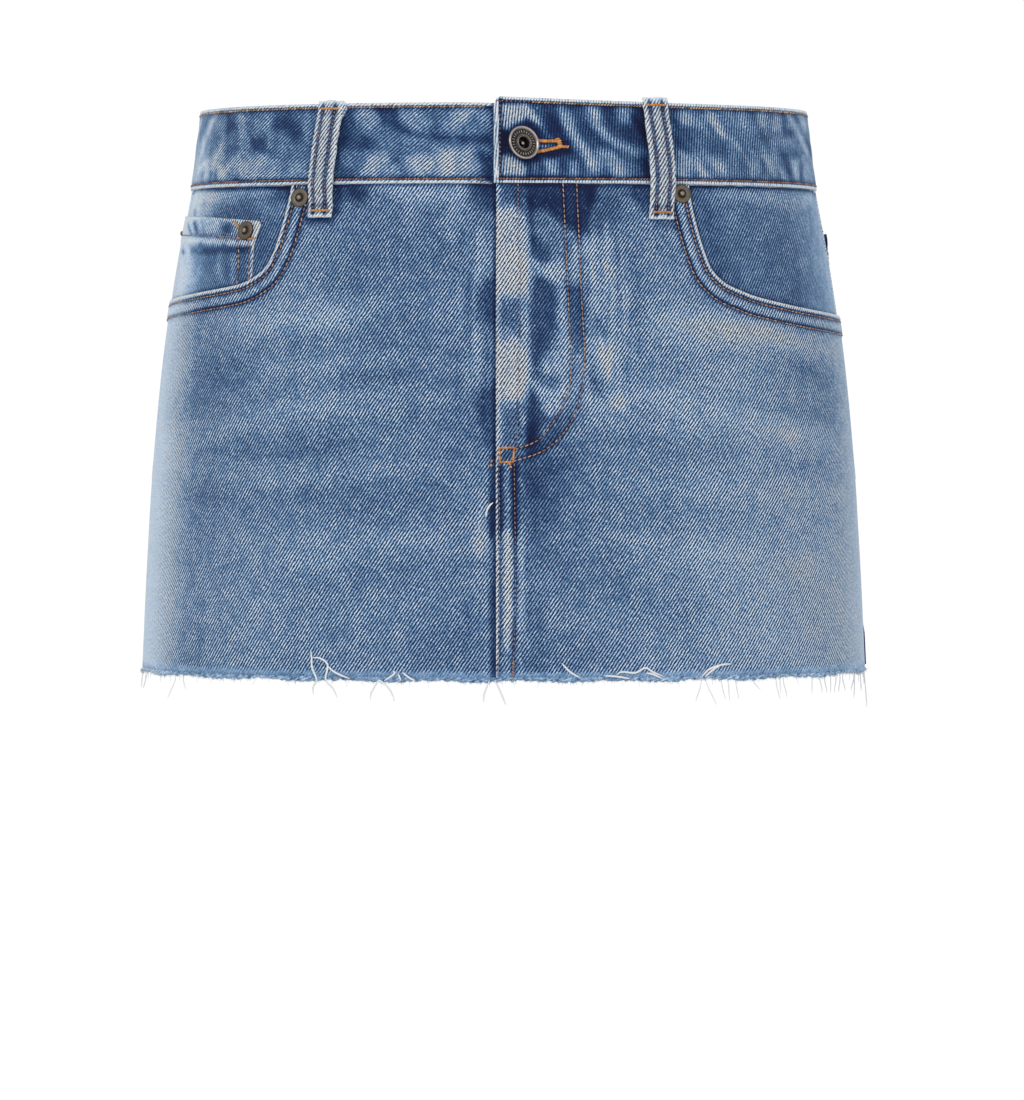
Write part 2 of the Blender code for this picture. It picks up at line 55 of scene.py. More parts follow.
MM = 0.001
GAP = 0.3  # between pieces and between layers
SEAM_GAP = 0.02  # between pieces sewn edge to edge
CLOTH = 1.2  # wall of a panel
BAND_BOTTOM = -20.0
SKIRT_TOP = BAND_BOTTOM - GAP
HEM = -256.5

Section = namedtuple("Section", "height half_width front_depth back_depth")
SECTIONS = (
    Section(22.0, 149.3, 93.5, 101.0),
    Section(-19.5, 154.6, 98.0, 107.0),
    Section(-50.0, 160.6, 103.5, 117.0),
    Section(-95.0, 167.6, 110.0, 127.0),
    Section(-154.0, 173.6, 115.0, 131.0),
    Section(-214.0, 177.3, 118.0, 132.0),
    Section(-259.0, 179.4, 120.0, 132.0),
)
ROUNDNESS = 2.2  # superellipse exponent of every section
LEVEL_STEP = 2.0
LEVELS = np.arange(SECTIONS[0].height, SECTIONS[-1].height - LEVEL_STEP, -LEVEL_STEP)
COLUMNS = 360  # steps of the form from centre front to centre back
SIDE = 0.5  # the side seams lie halfway round each half of the girth
PATTERN_WIDTH = 450.0  # width that half the girth has on the flat pattern


def smooth_through(positions, values, where):
    """Value at `where` of a smooth curve through a table with falling positions."""
    x = np.array(positions[::-1])
    y = np.array(values[::-1])
    slope = np.gradient(y, x)
    i = int(np.clip(np.searchsorted(x, where) - 1, 0, len(x) - 2))
    step = x[i + 1] - x[i]
    u = (where - x[i]) / step
    blend = 3 * u**2 - 2 * u**3
    lead = (u**3 - 2 * u**2 + u) * step * slope[i]
    trail = (u**3 - u**2) * step * slope[i + 1]
    return (1 - blend) * y[i] + blend * y[i + 1] + lead + trail


def skirt_form():
    """Points and outward normals of the worn form at every level and column, and half girths."""
    heights = [section.height for section in SECTIONS]
    angle = np.linspace(0, math.pi, 1441)
    sine, cosine = np.sin(angle), np.cos(angle)
    points = np.zeros((len(LEVELS), COLUMNS + 1, 3))
    girths = np.zeros(len(LEVELS))
    for i, height in enumerate(LEVELS):
        half_width, front, back = (
            smooth_through(heights, [row[column] for row in SECTIONS], height) for column in (1, 2, 3)
        )
        x = half_width * np.abs(sine) ** (2 / ROUNDNESS)
        depth = np.where(cosine > 0, front, back)
        y = -depth * np.sign(cosine) * np.abs(cosine) ** (2 / ROUNDNESS)
        run = np.concatenate([[0], np.cumsum(np.hypot(np.diff(x), np.diff(y)))])
        wanted = np.linspace(0, run[-1], COLUMNS + 1)
        points[i, :, 0] = np.interp(wanted, run, x)
        points[i, :, 1] = np.interp(wanted, run, y)
        points[i, :, 2] = height
        girths[i] = run[-1]
    along = np.gradient(points, axis=1)
    along[:, 0] = (1, 0, 0)
    along[:, -1] = (-1, 0, 0)
    normals = np.cross(along, -np.gradient(points, axis=0))
    normals /= np.linalg.norm(normals, axis=2, keepdims=True)
    return points, normals, girths


FORM, OUTWARD, GIRTHS = skirt_form()


def half_girth(height):
    return np.interp(height, LEVELS[::-1], GIRTHS[::-1])


def spots_at(share, height, lift=0.0):
    """Points in metres at shares of the half girth, `lift` mm outside the form."""
    share, height, lift = (
        np.array(value, float).reshape(-1) for value in np.broadcast_arrays(share, height, lift)
    )
    wrapped = (share + 1) % 2 - 1
    column = np.abs(wrapped) * COLUMNS
    row = (LEVELS[0] - height) / LEVEL_STEP
    j = np.clip(column.astype(int), 0, COLUMNS - 1)
    i = np.clip(np.floor(row).astype(int), 0, len(LEVELS) - 2)
    u = (column - j)[:, None]
    v = (row - i)[:, None]

    def corner(a, b):
        return FORM[a, b] + lift[:, None] * OUTWARD[a, b]

    upper = corner(i, j) * (1 - u) + corner(i, j + 1) * u
    lower = corner(i + 1, j) * (1 - u) + corner(i + 1, j + 1) * u
    points = upper * (1 - v) + lower * v
    points[:, 0] *= np.where(wrapped < 0, -1.0, 1.0)
    return points * MM


def on_cloth(across, height):
    """Pattern point of a place on the cloth."""
    return (across / half_girth(height) * PATTERN_WIDTH, height)


def on_seam(share, height, beside=0.0):
    """Pattern point on the seam at a share of the half girth, or `beside` it."""
    return ((share + beside / half_girth(height)) * PATTERN_WIDTH, height)


def smooth_line(points, steps=8):
    """A Catmull-Rom curve through the points."""
    padded = [2 * Vector(points[0]) - Vector(points[1])]
    padded += [Vector(point) for point in points]
    padded.append(2 * Vector(points[-1]) - Vector(points[-2]))
    line = []
    for a, b, c, d in zip(padded, padded[1:], padded[2:], padded[3:]):
        for step in range(steps):
            u = step / steps
            bend = 2 * b + (c - a) * u + (2 * a - 5 * b + 4 * c - d) * u**2
            line.append((bend + (3 * b - a - 3 * c + d) * u**3) / 2)
    line.append(Vector(points[-1]))
    return [tuple(point) for point in line]


def offset_line(points, distance):
    """The line moved sideways, to its left where the distance is positive."""
    moved = []
    for i, point in enumerate(points):
        before = Vector(points[max(i - 1, 0)])
        after = Vector(points[min(i + 1, len(points) - 1)])
        heading = (after - before).normalized()
        moved.append((point[0] - heading.y * distance, point[1] + heading.x * distance))
    return moved


def distance_to(line, across, height):
    """How far places on the cloth lie from a line drawn on it."""
    nearest = np.full(np.shape(across), 1e6)
    for (x1, y1), (x2, y2) in zip(line, line[1:]):
        run, rise = x2 - x1, y2 - y1
        u = ((across - x1) * run + (height - y1) * rise) / (run**2 + rise**2)
        u = np.clip(u, 0, 1)
        nearest = np.minimum(nearest, np.hypot(across - x1 - u * run, height - y1 - u * rise))
    return nearest


def bell(distance, width):
    return np.exp(-((distance / width) ** 2))


def eased(value, start, end):
    """0 before start, 1 after end, and smooth between."""
    u = np.clip((value - start) / (end - start), 0, 1)
    return u * u * (3 - 2 * u)


def noise_at(across, height, width, length, layer):
    """Soft noise on the cloth from -1 to 1, in spots about this wide and this long."""
    return np.array([noise.noise(Vector((x / width, y / length, layer))) for x, y in zip(across, height)])


def spaced(line, pitch):
    """The line with points no more than `pitch` apart, its own points kept."""
    line = np.asarray(line, float)
    made = [line[:1]]
    for a, b in zip(line, line[1:]):
        steps = max(1, math.ceil(np.linalg.norm(b - a) / pitch))
        made.append(a + (b - a) * np.arange(1, steps + 1)[:, None] / steps)
    return np.concatenate(made)


def inside(outline, points):
    """Which pattern points lie inside a closed outline."""
    x, y = points.T
    hit = np.zeros(len(points), bool)
    for (x1, y1), (x2, y2) in zip(outline, np.roll(outline, -1, axis=0)):
        if y1 != y2:
            hit ^= ((y1 > y) != (y2 > y)) & (x < x1 + (y - y1) / (y2 - y1) * (x2 - x1))
    return hit


def cut_pattern(outline, creases, pitch):
    """Points and triangles of a pattern piece, with rows of points along its edge and creases."""
    edge = spaced(list(outline) + [outline[0]], pitch)[:-1]
    rows = [spaced(crease, pitch) for crease in creases]
    low, high = edge.min(0), edge.max(0)
    grid = [
        (x + (k % 2) * pitch / 2, y)
        for k, y in enumerate(np.arange(low[1], high[1], pitch * 0.866))
        for x in np.arange(low[0], high[0], pitch)
    ]
    grid = np.array(grid)
    grid = grid[inside(edge, grid)]
    fixed = np.concatenate([edge] + rows)
    near = kdtree.KDTree(len(fixed))
    for i, (x, y) in enumerate(fixed):
        near.insert((x, y, 0), i)
    near.balance()
    grid = [point for point in grid if near.find((*point, 0))[2] > 0.6 * pitch]
    edges = [(i, (i + 1) % len(edge)) for i in range(len(edge))]
    start = len(edge)
    for row in rows:
        edges += [(start + i, start + i + 1) for i in range(len(row) - 1)]
        start += len(row)
    spots = [Vector(point) for point in fixed] + [Vector(point) for point in grid]
    spots, _, faces, *_ = delaunay_2d_cdt(spots, edges, [], 0, 1e-3)
    spots = np.array([tuple(spot) for spot in spots])
    faces = np.array(faces)
    a, b, c = spots[faces[:, 0]], spots[faces[:, 1]], spots[faces[:, 2]]
    turn = (b - a)[:, 0] * (c - a)[:, 1] - (b - a)[:, 1] * (c - a)[:, 0]
    faces = np.where((turn < 0)[:, None], faces[:, ::-1], faces)
    faces = faces[(np.abs(turn) > 1e-5) & inside(edge, (a + b + c) / 3)]
    used, index = np.unique(faces, return_inverse=True)
    return spots[used], index.reshape(-1, 3)


def new_piece(name, points, faces, *finishes):
    mesh = bpy.data.meshes.new(name)
    mesh.from_pydata(np.asarray(points).tolist(), [], [list(map(int, face)) for face in faces])
    mesh.polygons.foreach_set("use_smooth", [True] * len(mesh.polygons))
    for finish in finishes:
        mesh.materials.append(finish)
    piece = bpy.data.objects.new(name, mesh)
    bpy.context.scene.collection.objects.link(piece)
    return piece


def note(piece, name, values):
    """Writes one number for each point of the piece, which its finish reads."""
    attribute = piece.data.attributes.new(name, "FLOAT", "POINT")
    attribute.data.foreach_set("value", np.asarray(values, np.float32))


def cloth_piece(name, outline, lift, wall, wear, finishes, creases=(), *, pitch, crisp, grain_at=0.0):
    """A piece of cloth, cut to its pattern and laid `lift` outside the form, its wall outwards."""
    spots, faces = cut_pattern(outline, creases, pitch)
    share, height = spots[:, 0] / PATTERN_WIDTH, spots[:, 1]
    across = share * half_girth(height)
    points = spots_at(share, height, lift(across, height) + wall)
    piece = new_piece(name, points, faces, *finishes)
    upright = across - grain_at * half_girth(height)  # from the piece's grain line
    flat = np.stack([upright, height], axis=1) * MM
    piece.data.uv_layers.new(name="cloth").data.foreach_set("uv", flat[faces].ravel())
    note(piece, "wear", wear(across, height))
    note(piece, "crisp", crisp(across, height))
    shell = piece.modifiers.new("wall", "SOLIDIFY")
    shell.thickness = wall * MM
    shell.offset = -1.0
    shell.material_offset = shell.material_offset_rim = 1
    return piece


def sew_in(piece, node):
    """Puts a piece of cloth in its solid's place."""
    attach(piece, "root")
    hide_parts(node)


def feed(tree, made, feeds):
    """Feeds a node's inputs from sockets, or sets them to values."""
    for key, value in feeds.items():
        if isinstance(value, bpy.types.NodeSocket):
            tree.links.new(value, made.inputs[key])
        else:
            made.inputs[key].default_value = value


def node(tree, kind, feeds=None, **settings):
    """A node with its settings and what feeds it."""
    made = tree.nodes.new(kind)
    for name, value in settings.items():
        setattr(made, name, value)
    feed(tree, made, feeds or {})
    return made


def sum_node(tree, operation, a, b=0.0, c=0.0):
    return node(tree, "ShaderNodeMath", {0: a, 1: b, 2: c}, operation=operation).outputs[0]


def ranged(tree, value, low, high, start=0.0, end=1.0):
    """The value carried from between low and high to between start and end."""
    feeds = {"Value": value, "From Min": low, "From Max": high, "To Min": start, "To Max": end}
    return node(tree, "ShaderNodeMapRange", feeds).outputs[0]


def blended(tree, share, a, b):
    """Colour a where the share is 0, and b where it is 1."""
    return node(tree, "ShaderNodeMix", {0: share, 6: a, 7: b}, data_type="RGBA").outputs[2]


def ramped(tree, value, steps):
    """A colour for the value, from a table of steps."""
    ramp = node(tree, "ShaderNodeValToRGB", {"Fac": value})
    stops = ramp.color_ramp.elements
    while len(stops) < len(steps):
        stops.new(0.5)
    for stop, (place, colour) in zip(stops, steps):
        stop.position = place
        stop.color = (*colour, 1.0)
    return ramp.outputs["Color"]


def bumped(tree, height, strength, distance):
    feeds = {"Height": height, "Strength": strength, "Distance": distance}
    return node(tree, "ShaderNodeBump", feeds).outputs[0]


def read_note(tree, name):
    """The number that each point of a piece carries under a name."""
    return node(tree, "ShaderNodeAttribute", attribute_name=name).outputs["Fac"]


def new_finish(name):
    """A new finish, its tree and its shader."""
    finish = bpy.data.materials.new(name)
    finish.use_nodes = True
    return finish, finish.node_tree, finish.node_tree.nodes["Principled BSDF"]


INDIGO_STEPS = (  # wear, then the colour of the cloth there
    (0.0, (0.004, 0.007, 0.038)),
    (0.1, (0.007, 0.018, 0.078)),
    (0.18, (0.011, 0.039, 0.117)),
    (0.24, (0.020, 0.061, 0.158)),
    (0.37, (0.056, 0.131, 0.268)),
    (0.46, (0.101, 0.194, 0.344)),
    (0.56, (0.164, 0.286, 0.468)),
    (0.7, (0.286, 0.436, 0.645)),
    (0.8, (0.390, 0.552, 0.755)),
    (0.9, (0.530, 0.660, 0.810)),
    (1.0, (0.70, 0.80, 0.90)),
)
BLEACHED = 0.62  # share of the blue that bleaching takes out
BARE = (0.79, 0.78, 0.745, 1.0)  # cotton whose dye has gone, where an edge has rubbed
TWILL_PITCH = 0.00139  # from one diagonal line of the weave to the next
WAVE_PERIOD = 0.31416  # of a wave texture whose scale is 1
WEAVE_PARTS = (0.95, 1.0, 1.0)  # shares of its lines, its dashes and its grain


def denim(name, grain, depth=0.94, washed=0.0, bleached_from=0.54, bleached_over=0.1, blue_kept=3.0):
    """Indigo twill: fine diagonal lines broken into dashes, mottling, and the piece's washed and worn colour with
    its painted highlight and shadow.
    """
    finish, tree, shader = new_finish(name)
    cloth = node(tree, "ShaderNodeUVMap", uv_map="cloth").outputs["UV"]
    feeds = {"Vector": cloth, "Angle": -math.radians(grain)}
    along = node(tree, "ShaderNodeVectorRotate", feeds, rotation_type="Z_AXIS").outputs[0]

    def speckle(vector, scale, detail=2.0):
        feeds = {"Vector": vector, "Scale": scale, "Detail": detail, "Roughness": 0.6}
        return node(tree, "ShaderNodeTexNoise", feeds, noise_dimensions="2D").outputs["Fac"]

    feeds = {"Vector": along, "Scale": WAVE_PERIOD / TWILL_PITCH, "Distortion": 1.2}
    feeds |= {"Detail": 1.0, "Detail Scale": 0.9}
    lines = node(tree, "ShaderNodeTexWave", feeds, wave_type="BANDS", bands_direction="Y")
    drawn = node(tree, "ShaderNodeMapping", {"Vector": along, "Scale": (620.0, 1400.0, 1.0)})
    dashes = speckle(drawn.outputs[0], 1.0, 1.0)
    grains = speckle(cloth, 1600.0, 1.0)
    cloudy = speckle(cloth, 150.0, 3.0)
    broad = speckle(cloth, 26.0)
    mottled = speckle(cloth, 620.0)
    slubs = ranged(tree, speckle(cloth, 640.0, 1.0), 0.72, 0.8, end=0.3)

    weave = -sum(WEAVE_PARTS) / 2
    for pattern, part in zip((lines.outputs["Fac"], dashes, grains), WEAVE_PARTS):
        weave = sum_node(tree, "MULTIPLY_ADD", pattern, part, weave)
    crisp = read_note(tree, "crisp")
    wear = sum_node(tree, "ADD", read_note(tree, "wear"), washed)
    # the weave shows most where the dye is half gone, and least where it is whole
    shown = sum_node(tree, "MULTIPLY", sum_node(tree, "MULTIPLY_ADD", wear, 1.9, 0.1), depth)
    shown = sum_node(tree, "MULTIPLY", shown, sum_node(tree, "MULTIPLY_ADD", cloudy, 1.5, 0.25))
    shown = sum_node(tree, "MULTIPLY", sum_node(tree, "MULTIPLY", weave, crisp), shown)
    total = sum_node(tree, "ADD", wear, shown)
    total = sum_node(tree, "MULTIPLY_ADD", slubs, crisp, total)
    for clouds, strength, smoothed in ((cloudy, 0.14, 0.2), (broad, 0.12, 0.0), (mottled, 0.0, 0.5)):
        share = sum_node(tree, "MULTIPLY_ADD", crisp, -smoothed, strength + smoothed)
        part = sum_node(tree, "MULTIPLY", sum_node(tree, "SUBTRACT", clouds, 0.5), share)
        total = sum_node(tree, "ADD", total, part)

    blue = ramped(tree, total, INDIGO_STEPS)
    # bleached cloth is grey where the weave is whole, and still bluish where it is lost
    bleached = ranged(tree, wear, bleached_from, bleached_from + bleached_over, end=BLEACHED)
    bleached = sum_node(tree, "MULTIPLY", bleached, sum_node(tree, "POWER", crisp, blue_kept))
    dyed = blended(tree, bleached, blue, node(tree, "ShaderNodeRGBToBW", {0: blue}).outputs[0])
    colour = blended(tree, ranged(tree, total, 1.2, 1.5), dyed, BARE)
    feeds = {"Base Color": colour, "Normal": bumped(tree, weave, 0.5, 0.0003), "Roughness": 0.88}
    feeds |= {"Specular IOR Level": 0.2, "Sheen Weight": 0.12, "Sheen Roughness": 0.5}
    feed(tree, shader, feeds | {"Sheen Tint": (0.86, 0.93, 1.0, 1.0)})
    return finish


PANEL_GRAIN = 56.0  # how steeply the twill lines rise, in degrees
panel_denim = denim("denim_panel", PANEL_GRAIN)
reverse_denim = denim("denim_reverse", 180.0 - PANEL_GRAIN, depth=0.35, washed=0.18, bleached_from=0.8)

# A fold is a soft ridge or trough; `lean` turns its length up from level, and `fade` is its wear.
Fold = namedtuple("Fold", "across height length width lean rise fade")
FOLDS = [Fold(*row) for row in (
    # puckers under the waistband and beside the fly, and the bleached ridge of its fold
    (34, -30, 34, 13, 0, -0.5, 0.0),
    (64, -27, 9, 6, 90, -0.2, 0.0),
    (-75, -25, 13, 5, 90, -0.2, 0.0),
    (4.5, -53, 22, 8, 90, 1.1, 0.0),
    (4.5, -111, 22, 8, 90, 1.1, 0.0),
    (5, -84, 6, 8, 90, -0.4, 0.0),
    (18, -50, 10, 4, 90, -0.9, 0.0),
    (20, -84, 19, 5.5, 90, -1.2, 0.0),
    (34, -84, 14, 4, 90, -0.8, 0.0),
    (23, -62, 9, 3, -35, 0.6, 0.0),
    (29, -100, 26, 3, 90, 0.8, 0.0),
    (24, -123, 8, 4, 0, 0.5, 0.0),
    (51, -92, 42, 6, 88, 0.5, 0.0),
    (46, -116, 6, 5, 90, -0.3, 0.0),
    (14, -136, 14, 5, 90, -0.9, 0.0),
    (16, -172, 20, 9, 84, -0.5, 0.0),
    (-7, -77, 9, 5, 90, -0.5, 0.0),
    (-7, -133, 12, 5, 90, -0.5, 0.0),
    (4, -214, 24, 8, 90, 0.4, 0.0),
    # wearer's right: long level bands
    (-100, -86, 42, 7, 3, 0.8, 0.15),
    (-62, -87, 30, 8, -3, 0.4, 0.06),
    (-66, -125, 46, 6, 4, 0.7, 0.09),
    (-112, -130, 34, 6, 6, 0.5, 0.08),
    (-80, -160, 60, 5, 3, 0.4, 0.05),
    (-42, -192, 26, 7, 0, 0.4, 0.06),
    (-146, -110, 22, 8, 5, -0.8, -0.13),
    (-62, -112, 18, 4, 0, -0.4, -0.08),
    (-120, -148, 56, 6, 2, -0.6, -0.09),
    (-130, -172, 56, 8, 0, -0.5, -0.07),
    (-70, -208, 60, 10, 0, -0.3, -0.04),
    # wearer's left: bands that fall towards the side
    (136, -94, 62, 8, -6, 0.8, 0.14),
    (118, -132, 60, 7, -13, 0.8, 0.12),
    (150, -168, 50, 7, -5, 0.5, 0.07),
    (95, -195, 40, 8, -8, 0.4, 0.05),
    (166, -110, 22, 7, -8, -0.7, -0.12),
    (124, -147, 32, 6, -8, -0.6, -0.10),
    (70, -160, 26, 6, -10, -0.3, -0.05),
    (140, -150, 100, 140, 0, 0.0, 0.05),
    # a pale patch with no rise: painted highlight carrying the left side's painted highlight lower down
    (195, -222, 56, 46, 0, 0.0, 0.12),
    (130, -250, 90, 24, 0, 0.0, 0.03),
    # the back, which hangs from the seat
    (330, -205, 70, 16, 4, 1.2, 0.05),
    (-318, -200, 66, 15, -5, 1.1, 0.05),
    (300, -178, 60, 9, 7, -0.9, -0.07),
    (-336, -176, 52, 10, -6, -1.0, -0.07),
    (410, -225, 60, 12, -5, 0.9, 0.06),
    (-404, -218, 56, 12, 6, 0.8, 0.05),
    (440, -120, 20, 60, 0, -0.8, -0.06),
    (-440, -120, 20, 60, 0, -0.8, -0.06),
)]


def folded(across, height):
    """Rise and fade of all the folds at places on the cloth."""
    rise = np.zeros(len(across))
    fade = np.zeros(len(across))
    for fold in FOLDS:
        turn = math.radians(fold.lean)
        x, y = across - fold.across, height - fold.height
        u = (x * math.cos(turn) + y * math.sin(turn)) / fold.length
        v = (y * math.cos(turn) - x * math.sin(turn)) / fold.width
        strength = np.exp(-(u**4) - v**2)
        rise += fold.rise * strength
        fade += fold.fade * strength
    return rise, fade


def panel_lift(across, height):
    return folded(across, height)[0]


# A patch of the wash, or of painted shade: how much paler (or, below 0, darker) it leaves the cloth, how softly
# it ends and its outline.
Patch = namedtuple("Patch", "fade soft outline")


def box(left, top, right, foot):
    return ((left, top), (right, top), (right, foot), (left, foot))


FLY_WASH = [Patch(*row) for row in (
    (-0.06, 3.0, ((4, -21), (11, -21), (12, -40), (7, -44))),
    (0.05, 2.0, box(-3.4, -20, 3, -28)),
    (-0.06, 2.0, box(9, -78, 13.5, -90)),
    (-0.08, 2.0, box(0, -128, 12, -137)),
    (0.07, 2.5, ((16, -128), (22, -126), (24, -136), (17, -142))),
    (-0.07, 3.0, ((4, -198), (13, -198), (14, -218), (5, -218))),
    # the fly's fold, rubbed pale over the buttons
    (0.21, 2.2, ((-3.4, -34), (3, -31), (8, -34), (11.5, -42), (12.8, -54), (13.4, -66), (11.5, -74),
        (4, -75), (-3.4, -73))),
    (0.06, 3.0, ((0, -52), (8, -52), (11, -60), (10, -72), (3, -73))),
    (-0.15, 2.5, ((-3.4, -21), (9, -21), (9, -31), (-3.4, -30))),
    (0.15, 1.8, ((8.6, -74), (12.6, -74), (12.4, -94), (8.6, -94))),
    (-0.12, 2.6, ((-1.5, -78), (7.5, -76), (7.5, -88), (-1.5, -89))),
    (0.22, 2.4, ((-3.4, -97), (4, -94), (11, -96), (12.8, -104), (13, -116), (11.0, -123), (6, -125),
        (-3.4, -124))),
    (0.06, 3.0, ((0, -102), (7, -101), (9, -110), (8, -124), (1, -124))),
    (0.16, 1.2, ((8.6, -130), (10.2, -130), (10.4, -146), (8.8, -146))),
    # dye left under the waistband and in the hollows beside the fold
    (-0.30, 2.6, ((9.6, -20), (45, -20), (44, -29), (41, -36), (41, -44), (36, -46), (32, -42), (27, -38),
        (20, -33), (15, -34), (12, -29))),
    (-0.20, 1.3, ((10.6, -26), (14, -28), (14.8, -40), (15.4, -52), (13.4, -56), (12.2, -40))),
    (-0.03, 4.0, ((11, -30), (24, -36), (31, -48), (30, -56), (16, -60), (13, -46))),
    (-0.12, 5.0, ((40, -18), (66, -18), (64, -27), (54, -32), (47, -42), (41, -42))),
    (-0.15, 2.0, ((13.5, -45), (17, -47), (23, -50), (22.5, -57), (18, -58.5), (14.5, -55))),
    (0.16, 2.0, ((14, -58), (20, -60.5), (27, -57), (30, -62), (29, -69), (24, -67), (19, -66), (15.5, -63))),
    (-0.21, 2.6, ((13.8, -66), (19, -64.5), (23.5, -68), (26, -76), (25, -88), (24, -96), (20, -103),
        (16.5, -112), (13.4, -114), (12.8, -90))),
    (0.09, 1.8, ((26, -68), (29.5, -72), (30.5, -84), (32.5, -98), (31, -121), (28, -120), (27.4, -98),
        (26, -82))),
    (-0.21, 2.2, ((30.5, -70), (37.5, -70), (38.6, -84), (38.6, -97), (35, -102), (33, -94), (31.6, -82))),
    (0.06, 2.4, ((18, -101), (26, -101), (26, -112), (20, -110))),
    (-0.07, 1.0, ((0.4, -98), (1.8, -97), (3.0, -114), (1.4, -115))),
    (-0.06, 1.0, ((-1.4, -112), (0, -112), (0.4, -126), (-1.2, -126))),
    (-0.06, 1.2, ((9.4, -40), (10.8, -42), (11.4, -56), (9.8, -56))),
    (-0.12, 1.8, ((19, -110), (26, -113), (27, -118), (20, -117), (14, -113))),
    (0.12, 3.2, ((13.5, -116), (24, -118), (31, -116), (30, -126), (26, -131), (21, -130), (16, -123))),
    (-0.27, 2.0, ((12.4, -117), (15.5, -121), (18.5, -129), (23, -134), (18.5, -139), (13.5, -146),
        (10.6, -146), (11.8, -131))),
    (-0.16, 2.2, ((34, -126), (33, -134), (26, -145), (12, -152), (10, -147), (20, -141), (28, -131))),
    (-0.10, 6.0, ((8.5, -153), (22, -153), (30, -164), (26, -180), (14, -192), (8.5, -194))),
    (-0.06, 10.0, ((12, -142), (46, -146), (48, -172), (34, -200), (12, -206))),
    (0.07, 3.5, ((39, -47), (57, -42), (62, -70), (60, -100), (52, -104), (46, -82), (40, -70))),
    (0.09, 2.6, ((40, -96), (52, -94), (58, -112), (60, -130), (50, -128), (44, -112))),
    (0.12, 2.2, ((38.6, -49), (42.4, -48), (44, -66), (42.6, -68), (40, -62))),
    (0.10, 2.2, ((44, -46), (47, -46), (48.4, -62), (46, -62))),
    (0.14, 2.0, ((48.6, -38), (51.4, -38), (54.8, -82), (52.6, -84), (50, -62))),
    (0.09, 2.2, ((57, -70), (60, -72), (60.6, -104), (57.6, -102))),
    (0.12, 2.2, ((45, -96), (49, -96), (51.6, -116), (49, -118))),
    (0.11, 2.2, ((36.6, -104), (40, -106), (41, -124), (38, -122))),
    (0.16, 1.6, ((33.4, -50), (36.4, -50), (37, -66), (33.6, -66))),
    (0.12, 1.4, ((18, -104), (20.6, -104), (22.4, -114), (19.6, -115))),
    (0.12, 1.4, ((24, -102), (27, -101), (27.4, -112), (25, -111))),
    (-0.12, 2.6, ((43, -112), (50, -114), (50, -121), (44, -121))),
    (-0.07, 3.0, ((41, -80), (47, -84), (50, -93), (42, -93))),
    # the lapped seam below the fly
    (0.32, 1.6, ((0.6, -187), (2.4, -185), (4.0, -190), (4.4, -206), (4.2, -226), (2.2, -244),
        (0.4, -240), (0.1, -206))),
    (0.26, 1.8, ((6.8, -190), (8.6, -184), (9.8, -196), (10.2, -212), (8.4, -236), (7.0, -234))),
    (0.50, 0.9, ((-4, -187), (-2.8, -190), (-2.6, -244), (-4, -252))),
    (-0.06, 4.0, ((20, -146), (38, -146), (34, -160), (20, -160))),
    (-0.05, 3.0, ((18, -34), (34, -38), (36, -44), (24, -46), (16, -40))),
    (0.12, 1.0, box(-4, -150, -3.0, -190)),
    (-0.10, 4.0, ((0, -136), (16, -136), (18, -170), (10, -172), (8, -158), (0, -156))),
    (-0.26, 0.8, ((-2.7, -155), (-0.6, -155), (-0.4, -186), (-2.4, -190))),
    (-0.26, 1.0, ((3.4, -155), (6.6, -155), (6.8, -190), (5.4, -193), (4.4, -188))),
    (-0.12, 1.5, ((-1.0, -148), (4.2, -148), (3.8, -152.8), (-0.8, -152.8))),
)]
